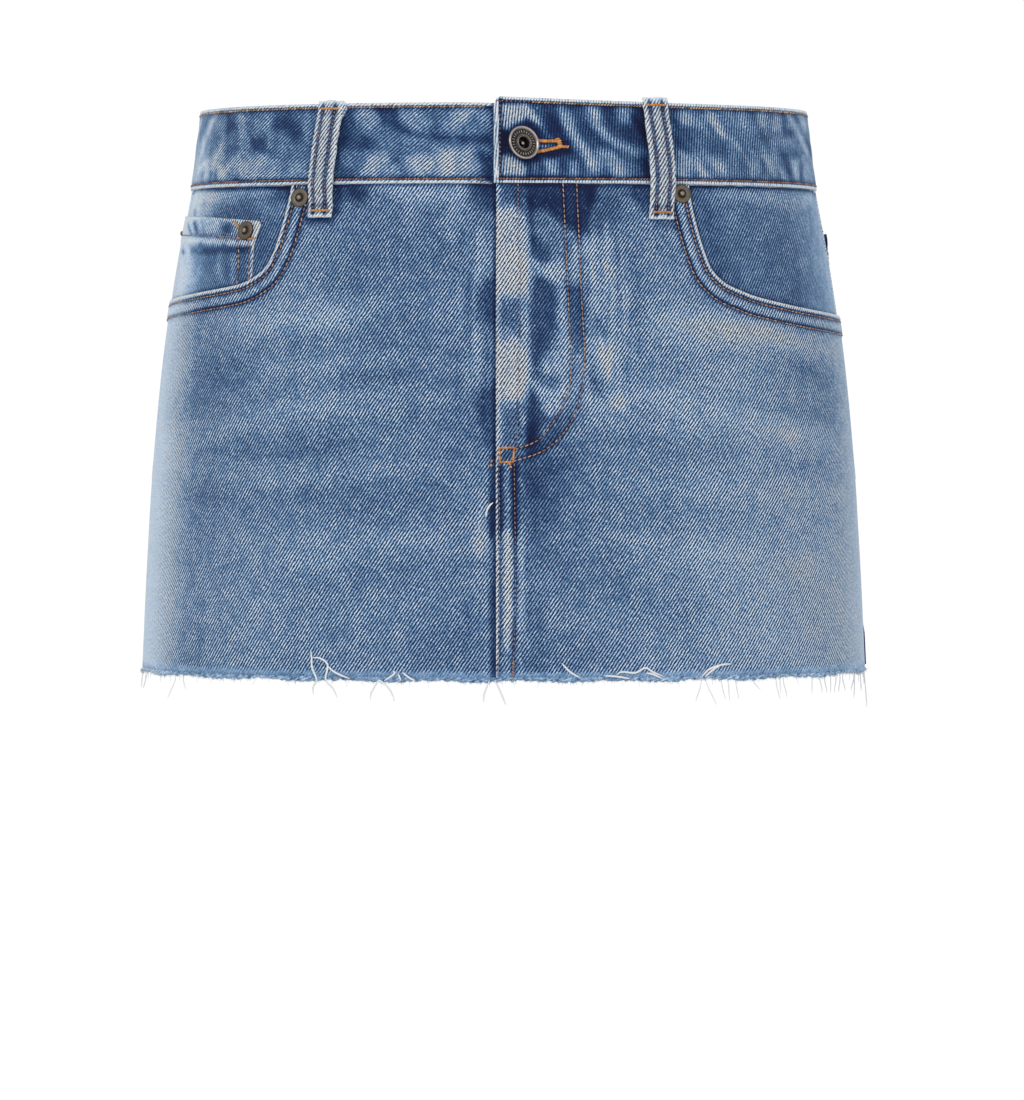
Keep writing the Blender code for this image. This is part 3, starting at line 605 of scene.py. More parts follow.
BODY_WASH_AND_SHADE = [Patch(*row) for row in (
    (-0.05, 5.0, box(-132, -132, -96, -144)),
    (0.05, 4.0, ((-118, -46), (-106, -46), (-90, -70), (-84, -78), (-112, -80))),
    # painted shadow below the foot of the left front loop
    (-0.12, 2.0, ((72, -37), (86, -37), (87, -43), (74, -43))),
    (-0.06, 4.0, ((-104, -30), (-86, -30), (-88, -40), (-102, -40))),
    (-0.03, 8.0, ((44, -208), (92, -208), (92, -244), (44, -236))),
    (-0.03, 8.0, ((-100, -214), (-84, -214), (-84, -240), (-108, -250))),
    (-0.03, 4.0, ((-80, -98), (-40, -96), (-40, -104), (-80, -104))),
    # broad clouds left by the wash on the wearer's right
    (-0.12, 6.0, ((-78, -80), (-40, -82), (-42, -92), (-60, -96), (-80, -90))),
    (-0.04, 12.0, ((-72, -22), (-20, -22), (-16, -60), (-50, -76), (-84, -70), (-80, -36))),
    (-0.05, 8.0, ((-50, -112), (-8, -108), (-8, -162), (-24, -158), (-30, -134), (-52, -128))),
    (-0.05, 5.0, ((-196, -122), (-60, -122), (-60, -134), (-150, -130), (-196, -136))),
    (-0.06, 8.0, ((-78, -158), (-22, -156), (-26, -176), (-56, -182), (-74, -172))),
    (0.05, 6.0, ((-186, -102), (-50, -100), (-44, -110), (-140, -114), (-186, -112))),
    (0.06, 7.0, ((-200, -140), (-110, -136), (-104, -148), (-140, -156), (-200, -158))),
    (0.06, 8.0, ((-138, -162), (-112, -160), (-108, -176), (-136, -178))),
    (0.07, 7.0, ((-140, -192), (-64, -192), (-76, -206), (-128, -212))),
    (0.04, 8.0, ((-156, -214), (-82, -214), (-86, -250), (-150, -248))),
    (-0.06, 7.0, ((-36, -224), (-14, -222), (-12, -258), (-52, -258), (-40, -240))),
    (-0.03, 6.0, ((-104, -82), (-62, -86), (-64, -102), (-104, -100))),
    (-0.03, 5.0, box(-46, -92, -20, -104)),
    # and on the left
    (-0.20, 2.2, ((63, -19), (71, -19), (72, -36), (66, -33), (62, -26))),
    (-0.05, 4.0, ((48, -110), (66, -110), (66, -121), (50, -120))),
    (-0.04, 5.0, ((50, -141), (116, -140), (118, -158), (96, -158), (60, -152))),
    (0.04, 6.0, ((120, -168), (150, -168), (148, -192), (120, -192))),
    (0.04, 4.0, ((83, -40), (95, -44), (98, -60), (88, -56))),
    (-0.08, 5.0, ((46, -28), (58, -28), (62, -56), (50, -56), (46, -44))),
    (-0.07, 5.0, ((54, -56), (66, -62), (66, -80), (60, -100), (54, -98), (58, -76))),
    (-0.05, 6.0, ((10, -192), (60, -198), (64, -222), (40, -222), (16, -214))),
    (-0.10, 4.0, box(11, -220, 20, -254)),
    (-0.05, 6.0, ((20, -236), (62, -240), (62, -258), (20, -258))),
    (-0.05, 6.0, ((52, -170), (84, -168), (86, -192), (56, -190))),
    (0.10, 6.0, ((112, -140), (150, -140), (154, -152), (120, -156), (84, -142), (84, -134))),
    (0.05, 5.0, ((48, -156), (120, -166), (118, -174), (50, -164))),
    (0.06, 6.0, ((84, -80), (140, -86), (146, -94), (96, -94), (70, -92), (72, -82))),
    (0.06, 7.0, ((90, -98), (122, -98), (124, -120), (100, -120))),
    (0.06, 6.0, ((150, -102), (182, -102), (180, -114), (152, -114))),
    (-0.05, 5.0, ((90, -120), (150, -126), (190, -124), (190, -136), (150, -138), (90, -130))),
    (0.06, 7.0, ((86, -196), (166, -198), (160, -212), (90, -212))),
    (0.05, 8.0, ((98, -212), (140, -212), (136, -248), (100, -246))),
    (0.09, 4.0, ((38, -122), (58, -124), (56, -136), (40, -134))),
)]
LAP_WASH_AND_SHADE = [Patch(*row) for row in (
    # painted shadow beside the foot of the right front loop
    (-0.12, 2.0, ((-81, -20), (-71, -20), (-72, -28), (-80, -28))),
    (-0.05, 4.0, ((-20, -20), (-4, -20), (-4, -60), (-12, -60))),
    (-0.05, 4.0, box(-22, -110, -10, -128)),
    # painted shadow beside the fly's fold, where the left front laps over: a thin line along it and three pools
    (-0.22, 1.0, ((-5.2, -20), (-3, -20), (-3, -152), (-5.0, -150), (-4.8, -106), (-5.4, -76), (-4.8, -52))),
    (-0.32, 0.9, ((-5.8, -150), (-3, -150), (-3, -257), (-5.7, -257), (-5.8, -215), (-5.3, -194),
        (-7.2, -184), (-7.2, -177), (-6.2, -168))),
    (-0.20, 3.5, ((-15, -19), (-3, -19), (-3, -33), (-8, -33), (-13, -29))),
    (-0.17, 3.5, ((-8, -64), (-3, -64), (-3, -88), (-8, -88), (-13, -78))),
    (-0.19, 3.5, ((-9, -118), (-3, -116), (-3, -150), (-8, -146), (-13, -128))),
    (0.20, 2.4, ((-9.0, -176), (-11, -172), (-15, -192), (-12, -200), (-7, -196), (-9, -186))),
    (0.06, 2.4, ((-10, -206), (-15, -204), (-15, -214), (-10, -216))),
    (0.16, 1.6, ((-10.6, -42), (-13.6, -42), (-13.4, -67), (-11, -66))),
    (0.12, 1.8, ((-8.4, -50), (-6, -46), (-6, -66), (-8, -66))),
    (0.14, 1.8, ((-11.4, -88), (-15.2, -90), (-14, -116), (-11.4, -114))),
    (0.07, 1.8, ((-17, -38), (-19, -38), (-18, -60), (-17, -60))),
    (0.13, 3.0, ((-18, -21), (-62, -21), (-56, -26), (-38, -30), (-20, -28))),
    (0.09, 2.4, ((-19, -26), (-25, -26), (-30, -44), (-25, -50), (-20, -40))),
    (0.07, 2.4, ((-38, -26), (-47, -26), (-50, -38), (-44, -42))),
    (-0.10, 2.6, ((-66, -22), (-76, -22), (-70, -30), (-64, -28))),
    (-0.12, 3.5, ((-74, -20), (-64, -20), (-68, -30), (-74, -33))),
    # painted shadow beside and under the foot of the right front loop
    (-0.26, 2.2, ((-83, -20), (-79, -20), (-79, -34), (-84, -39), (-97, -39), (-97, -36), (-85, -34))),
)]


def washed_and_shaded_by(patches, across, height):
    """Wear and painted shade that all the patches of a piece leave at places on it."""
    wear = np.zeros(len(across))
    for patch in patches:
        outline = np.array(patch.outline, float)
        depth = distance_to([*outline, outline[0]], across, height)
        depth = np.where(inside(outline, np.stack([across, height], axis=1)), depth, -depth)
        wear += patch.fade * eased(depth, -patch.soft, patch.soft)
    return wear


BASE_WEAR = 0.395
# Painted highlight on each side: how pale a side is painted, how far in from its fold, where that ends, how much
# weave is lost and how far.
SideLight = namedtuple("SideLight", "pale full gone crisp crisp_gone")
RIGHT_SIDE_LIGHT = SideLight(0.58, 36.0, 78.0, 0.9, 84.0)  # the wearer's right is painted palest
LEFT_SIDE_LIGHT = SideLight(0.37, 14.0, 70.0, 0.7, 92.0)
SIDE_LIGHT_ENDS = 92.0  # beyond both, so that the back is clear of it


def beside_fold(across, height):
    """How far places lie from the fold at the side, and the painted side highlight there."""
    past = np.abs(across) - SIDE * half_girth(height)
    away = -past / (0.94 + 0.12 * eased(-height, 100.0, 170.0))
    behind = SIDE_LIGHT_ENDS * (1 - np.exp(-np.maximum(past, 0.0) / 80.0))  # it fades slowly round the back
    away = np.where(past > 0, behind, away)
    right = across < 0
    return away, [np.where(right, a, b) for a, b in zip(RIGHT_SIDE_LIGHT, LEFT_SIDE_LIGHT)]


def raw_edge(across, height):
    """1 where the cut foot of a panel has opened into loose yarn, 0 above it."""
    ragged = [noise.noise(Vector((x / 3.0, 2.0, 1.0))) for x in across]
    return 1 - eased(height - HEM + 1.1 * np.array(ragged), 1.9, 3.0)


def panel_wear_and_shading(across, height):
    """Wear of the body of the skirt: folds and the bleached foot of the panels, with painted highlight on the
    sides and painted shadow under the waistband.
    """
    wear = BASE_WEAR + folded(across, height)[1] + washed_and_shaded_by(BODY_WASH_AND_SHADE, across, height)
    away, (pale, full, gone, *_) = beside_fold(across, height)
    # painted highlight towards each side
    wear += pale * (1 - eased(away, full, gone))
    raw = raw_edge(across, height)
    # the last term is a painted shadow under the foot of the waistband
    wear = wear * (1 - raw) + (wear * 0.4 + 0.42) * raw - 0.27 * bell(height - SKIRT_TOP + 0.2, 1.0)
    return wear + 0.02 * eased(-height, 60.0, 240.0)


def to_mouths(across, height):
    """How far places lie from the nearer pocket mouth."""
    return np.minimum(distance_to(MOUTHS[-1], across, height), distance_to(MOUTHS[1], across, height))


def panel_crisp(across, height):
    """The weave shows less at the sides under their painted highlight, along rubbed edges and at the raw foot."""
    away, (_, full, _, crisp, gone) = beside_fold(across, height)
    rolled = 1 - eased(to_mouths(across, height), 0.8, 1.6)
    smooth = np.maximum(0.25 * rolled, 0.85 * raw_edge(across, height))
    return (1.0 - crisp * (1 - eased(away, full * 0.5, gone))) * (1 - smooth)


Spot = namedtuple("Spot", "across height")
POCKET_MOUTH_RIGHT = [Spot(*row) for row in (  # from the waistband towards the side seam
    (-104.6, -20.3), (-107.2, -31.0), (-110.2, -41.5), (-113.6, -51.0), (-118.4, -59.6),
    (-125.6, -64.8), (-136.0, -68.4), (-160.4, -71.4), (-188.5, -73.6),
)]
MOUTH_END_RIGHT = -75.6  # height at which it meets the side seam
POCKET_MOUTH_LEFT = [Spot(*row) for row in (
    (90.6, -20.3), (92.4, -31.0), (94.8, -41.0), (98.3, -52.0), (102.4, -61.2), (109.2, -67.5),
    (118.4, -71.4), (131.0, -75.0), (158.0, -79.2), (190.6, -81.8),
)]
MOUTH_END_LEFT = -83.0


def mouth_line(side):
    """A front pocket's mouth, from the waistband to the side seam."""
    points, end = (POCKET_MOUTH_RIGHT, MOUTH_END_RIGHT) if side < 0 else (POCKET_MOUTH_LEFT, MOUTH_END_LEFT)
    seam = Spot(side * (SIDE * half_girth(end) - SEAM_GAP), end)
    return smooth_line([*points, seam])


MOUTHS = {side: mouth_line(side) for side in (-1, 1)}
MOUTH_ROWS = (2.9, 9.4)  # the two rows of stitches inside a pocket mouth
STITCH_SINKS = 0.3
STITCH_GROOVE = 0.9
FLY_FOLD = -3.4
FLY_SHIELD = 30.0  # how far the right front reaches under the fly
FLY_END = -152.0
SEAM_LAP = 8.0
LAP_RAMP = 9.5  # width over which cloth sinks to pass under a lap
FLY_ROW = smooth_line([(7.0, -21.0), (7.3, -45.0), (8.2, -62.0), (7.6, -80.0), (8.0, -92.0),
    (7.1, -116.0), (6.5, -144.0)])
FLY_CURVES = (
    smooth_line([(28.6, -21.0), (31.6, -88.0), (32.4, -102.0), (31.4, -118.0), (26.6, -130.4),
        (17.0, -142.8), (6.4, -147.4)]),
    smooth_line([(35.2, -21.0), (37.4, -74.0), (38.8, -104.0), (36.8, -123.0), (30.6, -137.4),
        (19.8, -147.9), (5.4, -153.2)]),
)
SEAM_ROWS = (
    smooth_line([(-2.0, -155.0), (-1.7, -200.0), (-1.8, -230.0), (-2.2, HEM)]),
    smooth_line([(5.2, -155.0), (5.7, -195.0), (5.8, -225.0), (4.7, -250.0), (4.6, HEM)]),
)


def mouth_relief(side, across, height):
    """The turned hem of a pocket mouth stands up, dips at its two rows and is rubbed at its edge."""
    away = distance_to(MOUTHS[side], across, height)
    inner, outer = MOUTH_ROWS
    lift = 0.75 * (1 - eased(away, outer - 0.4, outer + 1.8)) - 0.3 * bell(away, 0.5)
    for row in MOUTH_ROWS:
        lift -= STITCH_SINKS * bell(away - row, STITCH_GROOVE)
    wear = 0.85 * (1 - eased(away, 0.7, 1.5)) - 0.50 * bell(away - inner, 0.9) + 0.10 * bell(away - 5.8, 1.8)
    # dark along the outer row, and a weaker painted shade just beyond it, below the raised hem
    wear -= 0.44 * bell(away - outer + 0.4, 0.95) + 0.08 * bell(away - outer - 1.0, 1.2)
    return lift, wear


def draw_in(lift, rows, across, height, depth=STITCH_SINKS):
    """Rows of stitches draw the cloth down along them."""
    for row in rows:
        lift -= depth * bell(distance_to(row, across, height), STITCH_GROOVE)


def front_left_lift(across, height):
    lift = panel_lift(across, height) + mouth_relief(1, across, height)[0]
    above_end = eased(height, FLY_END, FLY_END + 8.0)
    lift += 0.5 * above_end * (1 - eased(across, 35.0, 40.0))
    draw_in(lift, (FLY_ROW, *FLY_CURVES, *SEAM_ROWS), across, height)
    return lift - 0.25 * bell(across - FLY_FOLD, 0.8)


def streaks(across, height):
    """Fine upright lines that the wash left beside the fly, from -1 to 1."""
    lines = noise_at(across, height, 2.8, 32.0, 6.0)
    right = eased(-across, 3.0, 7.0) * (1 - eased(-across, 17.0, 26.0)) * (1 - eased(-height, 120.0, 150.0))
    left = eased(across, 37.0, 41.0) * (1 - eased(across, 58.0, 70.0)) * (1 - eased(-height, 108.0, 134.0))
    return np.clip(1.8 * lines, -1, 1) * eased(-height, 32.0, 46.0) * (right + left)


def front_left_wear_and_shading(across, height):
    wear = panel_wear_and_shading(across, height) + mouth_relief(1, across, height)[1] + 0.11 * streaks(across, height)
    wear += washed_and_shaded_by(FLY_WASH, across, height) + 0.30 * bell(across - FLY_FOLD - 0.4, 0.9)
    for row, dark in ((FLY_ROW, 0.08), *((row, 0.22) for row in FLY_CURVES)):
        away = distance_to(row, across, height)
        wear += 0.05 * bell(away - 1.9, 0.9) - dark * bell(away, 0.85)
    for row in SEAM_ROWS:
        wear -= 0.30 * bell(distance_to(row, across, height), 0.95)
    return wear


def front_right_lift(across, height):
    start = FLY_FOLD - GAP - LAP_RAMP
    sunk = (CLOTH + GAP) * np.clip((across - start) / LAP_RAMP, 0, 1)
    return panel_lift(across, height) + mouth_relief(-1, across, height)[0] - sunk


def front_right_wear_and_shading(across, height):
    wear = panel_wear_and_shading(across, height) + mouth_relief(-1, across, height)[1]
    return wear + washed_and_shaded_by(LAP_WASH_AND_SHADE, across, height) + 0.09 * streaks(across, height)


def crease_rows(lines, *offsets):
    return [[on_cloth(*point) for point in offset_line(line, offset)] for line in lines for offset in offsets]


front_left_outline = [on_cloth(FLY_FOLD, SKIRT_TOP), on_cloth(FLY_FOLD, HEM), on_seam(SIDE, HEM, -SEAM_GAP)]
front_left_outline += [on_cloth(*point) for point in MOUTHS[1][::-1]]
MOUTH_RELIEF_AT = (0.9, 1.7, 2.3, 2.9, 3.8, 5.6, 7.4, 8.4, 9.0, 9.9, 10.8, 12.2)
front_left_creases = crease_rows([MOUTHS[1]], *(-away for away in MOUTH_RELIEF_AT))
front_left_creases += crease_rows([FLY_ROW, *FLY_CURVES, *SEAM_ROWS], -1.0, 0.0, 1.0)
front_left_creases += crease_rows([[(FLY_FOLD + 1.0, SKIRT_TOP - 1), (FLY_FOLD + 1.0, HEM + 1)]], 0.0)
front_left = cloth_piece(
    "front_left_cloth", front_left_outline, front_left_lift, CLOTH, front_left_wear_and_shading,
    (panel_denim, reverse_denim), front_left_creases, pitch=1.9, crisp=panel_crisp,
)

front_right_outline = [on_cloth(*point) for point in MOUTHS[-1]]
front_right_outline += [on_seam(-SIDE, HEM, SEAM_GAP), on_cloth(SEAM_LAP, HEM)]
front_right_outline += [on_cloth(SEAM_LAP, FLY_END), on_cloth(FLY_SHIELD, FLY_END)]
front_right_outline.append(on_cloth(FLY_SHIELD, SKIRT_TOP))
ramp_start = FLY_FOLD - GAP - LAP_RAMP
front_right_creases = crease_rows([MOUTHS[-1]], *MOUTH_RELIEF_AT)
ramp_creases = (ramp_start, -7.4, -5.6, FLY_FOLD - GAP)
front_right_creases += [[on_cloth(x, SKIRT_TOP - 1), on_cloth(x, HEM + 1)] for x in ramp_creases]
front_right = cloth_piece(
    "front_right_cloth", front_right_outline, front_right_lift, CLOTH, front_right_wear_and_shading,
    (panel_denim, reverse_denim), front_right_creases, pitch=2.2, crisp=panel_crisp,
)

# ---- topstitching on the fronts -----------------------------------------------------------
# Heavy rust thread in rows about 2.5 mm to the stitch, washed until parts of it are pale. It is
# sewn through every edge and seam: pocket mouths, the fly's curve and the lapped centre seam.

THREAD_COLOURS = {
    "rust_thread": ((0.15, 0.065, 0.06), (0.60, 0.39, 0.26)),
    "worn_thread": ((0.12, 0.07, 0.07), (0.46, 0.30, 0.22)),
    "bright_thread": ((0.42, 0.13, 0.03), (0.78, 0.38, 0.10)),
    "band_thread": ((0.010, 0.008, 0.022), (0.66, 0.45, 0.28)),
    "foot_thread": ((0.008, 0.006, 0.018), (0.46, 0.25, 0.16)),
}


def grains_in(tree, scale, detail=2.0):
    """Fine noise all through a piece."""
    place = node(tree, "ShaderNodeTexCoord").outputs["Object"]
    feeds = {"Vector": place, "Scale": scale, "Detail": detail}
    return node(tree, "ShaderNodeTexNoise", feeds).outputs["Fac"]


def thread(name):
    """Twisted thread whose colour runs from its own to faded, from one stitch to the next."""
    finish, tree, shader = new_finish(name)
    fresh, faded = THREAD_COLOURS[name]
    fibres = grains_in(tree, 2600.0)
    each = sum_node(tree, "MULTIPLY", read_note(tree, "faded"), 0.8)
    share = sum_node(tree, "ADD", each, sum_node(tree, "MULTIPLY", fibres, 0.4))
    colour = blended(tree, share, (*fresh, 1.0), (*faded, 1.0))
    feed(tree, shader, {"Base Color": colour, "Normal": bumped(tree, fibres, 0.5, 0.0001), "Roughness": 0.7})
    return finish


rust_thread, worn_thread, bright_thread, band_thread, foot_thread = map(thread, THREAD_COLOURS)


def new_tree(name, makes, inputs):
    """A tree with named inputs, the identifiers to set them by, and the sockets they come in by."""
    tree = bpy.data.node_groups.new(name, "GeometryNodeTree")
    names = {}
    for label, kind, value in inputs:
        socket = tree.interface.new_socket(label, in_out="INPUT", socket_type=f"NodeSocket{kind}")
        if value is not None:
            socket.default_value = value
        names[label] = socket.identifier
    tree.interface.new_socket(makes, in_out="OUTPUT", socket_type="NodeSocketGeometry")
    return tree, names, tree.nodes.new("NodeGroupInput").outputs


def points_along(tree, given):
    """Points at every pitch of the row that is given."""
    curve = node(tree, "GeometryNodeMeshToCurve", {0: given["Row"]}).outputs[0]
    curve = node(tree, "GeometryNodeResampleCurve", {"Curve": curve, "Length": given["Pitch"]}, mode="LENGTH")
    return node(tree, "GeometryNodeCurveToPoints", {0: curve.outputs[0]}, mode="EVALUATED").outputs


def outward_at(tree):
    """The way that the points of a row face."""
    return node(tree, "GeometryNodeInputNamedAttribute", {"Name": "outward"}, data_type="FLOAT_VECTOR").outputs[0]


def xyz(tree, x, y, z):
    return node(tree, "ShaderNodeCombineXYZ", {0: x, 1: y, 2: z}).outputs[0]


def lay(tree, points, shape, turn, size, finish, kept=None):
    """Lays a shape at every point. One that keeps a number for its finish is shaded smooth."""
    feeds = {"Points": points, "Instance": shape, "Rotation": turn, "Scale": size}
    made = node(tree, "GeometryNodeInstanceOnPoints", feeds)
    if kept:
        feeds = {"Geometry": made.outputs[0], "Name": kept[0], "Value": kept[1]}
        made = node(tree, "GeometryNodeStoreNamedAttribute", feeds, data_type="FLOAT", domain="INSTANCE")
    made = node(tree, "GeometryNodeRealizeInstances", {0: made.outputs[0]})
    if kept:
        made = node(tree, "GeometryNodeSetShadeSmooth", {"Geometry": made.outputs[0]})
    made = node(tree, "GeometryNodeSetMaterial", {"Geometry": made.outputs[0], "Material": finish})
    node(tree, "NodeGroupOutput", {0: made.outputs[0]})


def stitching_tree():
    """Lays a plump stitch at every pitch of a row, along it or turned across it, facing outwards."""
    inputs = [("Row", "Geometry", None), ("Pitch", "Float", 0.0026), ("Length", "Float", 0.002)]
    inputs += [("Width", "Float", 0.0006), ("Turn", "Float", 0.0)]
    inputs += [("Seed", "Int", 1), ("Thread", "Material", None)]
    tree, names, given = new_tree("stitching", "Stitches", inputs)
    points = points_along(tree, given)
    lying = node(tree, "FunctionNodeAlignRotationToVector", {"Vector": points["Tangent"]}, axis="X")
    feeds = {"Rotation": lying.outputs[0], "Vector": outward_at(tree)}
    lying = node(tree, "FunctionNodeAlignRotationToVector", feeds, axis="Z", pivot_axis="X")
    wobble = node(tree, "FunctionNodeRandomValue", {2: -0.16, 3: 0.16, "Seed": given["Seed"]}, data_type="FLOAT")
    turn = xyz(tree, 0.0, 0.0, sum_node(tree, "ADD", given["Turn"], wobble.outputs[1]))
    feeds = {"Rotation": lying.outputs[0], "Rotate By": turn}
    lying = node(tree, "FunctionNodeRotateRotation", feeds, rotation_space="LOCAL")
    stitch = node(tree, "GeometryNodeMeshUVSphere", {"Segments": 6, "Rings": 4, "Radius": 0.5}).outputs[0]
    size = xyz(tree, given["Length"], given["Width"], given["Width"])
    dyed = node(tree, "FunctionNodeRandomValue", {"Seed": given["Seed"]}, data_type="FLOAT").outputs[1]
    lay(tree, points[0], stitch, lying.outputs[0], size, given["Thread"], ("faded", dyed))
    return tree, names


STITCHING = stitching_tree()


def grown(name, plan, rows, values):
    """A mesh that a tree makes along rows of points, each with the way it faces."""
    tree, names = plan
    starts = np.cumsum([0] + [len(row) for row, _ in rows])
    edges = [(int(k + i), int(k + i + 1)) for k, (row, _) in zip(starts, rows) for i in range(len(row) - 1)]
    path = bpy.data.meshes.new(name + "_path")
    path.from_pydata(np.concatenate([row for row, _ in rows]).tolist(), edges, [])
    ways = path.attributes.new("outward", "FLOAT_VECTOR", "POINT")
    ways.data.foreach_set("vector", np.concatenate([out for _, out in rows]).astype(np.float32).ravel())
    guide = bpy.data.objects.new(name + "_path", path)
    bpy.context.scene.collection.objects.link(guide)
    modifier = guide.modifiers.new("tree", "NODES")
    modifier.node_group = tree
    for key, value in values.items():
        modifier[names[key]] = value
    graph = bpy.context.evaluated_depsgraph_get()
    mesh = bpy.data.meshes.new_from_object(guide.evaluated_get(graph), depsgraph=graph)
    guide.modifiers.clear()
    bpy.data.objects.remove(guide)
    mesh.name = name
    piece = bpy.data.objects.new(name, mesh)
    bpy.context.scene.collection.objects.link(piece)
    return piece


ROW_SPACING = 2.0  # between the points that a row of stitches follows
STITCH_STANDS = 0.12  # middle of a stitch above the cloth


def row_on(line, lift, wall, stands=STITCH_STANDS, shares=False):
    """Points and facing of a row drawn on a piece of cloth."""
    line = spaced(line, ROW_SPACING)
    height = line[:, 1]
    share = line[:, 0] if shares else line[:, 0] / half_girth(height)
    rise = lift(share * half_girth(height), height) + wall + stands
    points = spots_at(share, height, rise)
    outward = spots_at(share, height, rise + 1.0) - points
    return points, outward / np.linalg.norm(outward, axis=1, keepdims=True)


def stitches(name, rows, finish, seed, pitch=2.5, length=2.3, width=0.66, turn=0.0):
    values = {"Pitch": pitch * MM, "Length": length * MM, "Width": width * MM, "Turn": math.radians(turn)}
    piece = grown(name, STITCHING, rows, values | {"Seed": seed, "Thread": finish})
    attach(piece, "root")
    return piece


front_left_rows = [row_on(offset_line(MOUTHS[1], -away), front_left_lift, CLOTH) for away in MOUTH_ROWS]
front_left_rows += [row_on(row, front_left_lift, CLOTH) for row in FLY_CURVES]
worn_rows = [row_on(row, front_left_lift, CLOTH) for row in (FLY_ROW, *SEAM_ROWS)]
front_left_sewing = stitches("front_left_topstitch", front_left_rows, rust_thread, 11)
worn_sewing = stitches("worn_topstitch", worn_rows, worn_thread, 14, pitch=2.3, length=1.7, width=0.52)
front_right_rows = [row_on(offset_line(MOUTHS[-1], away), front_right_lift, CLOTH) for away in MOUTH_ROWS]
front_right_sewing = stitches("front_right_topstitch", front_right_rows, rust_thread, 12)

# The foot of the fly is held by a small box of bright thread, and the seam ends in a dense row.
BOX_TACK = [(-1.9, -147.0), (5.2, -146.8), (4.6, -153.6), (-1.6, -153.8), (-1.9, -147.0)]
tack_rows = [row_on(BOX_TACK, front_left_lift, CLOTH)]
tack_rows.append(row_on([(3.0, -154.6), (3.6, -156.0)], front_left_lift, CLOTH))
tack_rows.append(row_on([(-5.6, -153.2), (-5.9, -155.2)], front_left_lift, CLOTH - 1.3, 0.3))
fly_tack = stitches("fly_tack", tack_rows, bright_thread, 13, pitch=1.05, length=1.5, width=1.15)
end_row = [row_on([(4.8, -248.6), (4.6, HEM)], front_left_lift, CLOTH, 0.25)]
seam_end = stitches("seam_end", end_row, rust_thread, 15, pitch=1.15, length=1.7, width=0.8, turn=38.0)

sew_in(
    front_left, "front_panel_left",
)
sew_in(
    front_right, "front_panel_right",
)

# ---- pocket facings and coin pocket -------------------------------------------------------
# A facing of the same denim backs each front pocket and has kept its colour. The coin pocket on
# the wearer's right is a patch with a double-stitched hem, its foot caught in the pocket mouth.

FACING_WALL = 1.0
FACING_UNDER = 13.0  # how far it reaches under the panel
facing_denim = denim("denim_facing", 62.0, depth=0.76, bleached_from=0.6)
FACING_WEAR = 0.32
FACING_WASH = [Patch(*row) for row in (
    (-0.06, 3.0, ((-132, -20), (-100, -20), (-100, -30), (-132, -28))),
    (0.12, 3.0, ((-166, -23), (-136, -22), (-136, -29), (-166, -31))),
    (-0.05, 3.0, ((100, -60), (110, -60), (112, -72), (104, -70))),
    (0.05, 4.0, ((124, -32), (164, -32), (166, -40), (134, -42))),
    (-0.13, 2.5, ((-121, -19), (-103, -19), (-105, -27), (-118, -28))),
    (-0.07, 5.0, ((152, -62), (196, -60), (196, -80), (150, -76))),
    (-0.05, 3.0, ((-156, -32), (-150, -27), (-138, -26), (-122, -33), (-128, -36), (-156, -35))),
    (0.20, 3.0, ((-186, -19), (-112, -19), (-116, -24), (-140, -24), (-168, -27), (-186, -27))),
    (0.10, 2.5, ((-134, -22), (-108, -21), (-108, -30), (-114, -36), (-124, -32))),
    (-0.34, 1.3, ((-184, -31), (-181, -29.5), (-177, -33), (-180, -34))),
    (-0.20, 1.2, ((-170, -27), (-167, -25), (-166, -28), (-169, -28.4))),
    (0.12, 1.5, ((-177, -33), (-175, -22), (-171, -22), (-172, -34))),
    (-0.04, 2.5, ((-122, -40), (-119, -38), (-117, -52), (-126, -62), (-128, -60), (-124, -50))),
    (0.15, 3.0, ((106, -19), (186, -19), (186, -28), (150, -30), (118, -28), (104, -26))),
    (0.06, 3.0, ((112, -30), (122, -30), (118, -42), (110, -38))),
    (-0.06, 3.0, ((97, -30), (104, -32), (108, -48), (120, -66), (106, -62), (98, -46))),
)]


def facing_outline(side):
    line = offset_line(MOUTHS[side], -FACING_UNDER * side)
    line = [point for point in line if point[1] < SKIRT_TOP - 1]
    end = on_seam(side * SIDE, line[-1][1], -side * SEAM_GAP)
    points = [on_cloth(*point) for point in [(line[0][0], SKIRT_TOP)] + line[:-1]]
    return points + [end, on_seam(side * SIDE, SKIRT_TOP, -side * SEAM_GAP)]


def facing_lift(across, height):
    return panel_lift(across, height) - FACING_WALL - GAP


def facing_wear_and_shading(across, height):
    wear = FACING_WEAR + 0.5 * folded(across, height)[1] + washed_and_shaded_by(FACING_WASH, across, height)
    # painted highlight towards each side
    wear += 0.74 * eased(-across, 146.0, 190.0) + 0.40 * eased(across, 146.0, 200.0)
    # painted shadow under the foot of the waistband, and beside the raised edge of the pocket mouth
    wear -= 0.42 * bell(height - SKIRT_TOP + 0.2, 1.2)
    return wear - 0.22 * bell(to_mouths(across, height), 1.5)


def facing_crisp(across, height):
    return 1.0 - 0.75 * eased(np.abs(across), 146.0, 190.0)


for side, word in ((-1, "right"), (1, "left")):
    outline = facing_outline(side)
    facing = cloth_piece(
        f"facing_{word}_cloth", outline, facing_lift, FACING_WALL, facing_wear_and_shading,
        (facing_denim, reverse_denim), crease_rows([MOUTHS[side]], 0.0), pitch=1.9, crisp=facing_crisp,
    )
    sew_in(facing, f"pocket_facing_{word}")

COIN_OUTER_TOP = Spot(-208.0, -32.6)
COIN_INNER_TOP = Spot(-123.4, -37.4)
COIN_INNER_FOOT = -127.4
coin_foot = offset_line(MOUTHS[-1], -GAP)


def coin_edge_at(across):
    """Where the coin pocket's side meets the edge of the pocket mouth."""
    return (across, float(np.interp(across, *zip(*coin_foot[::-1]))))


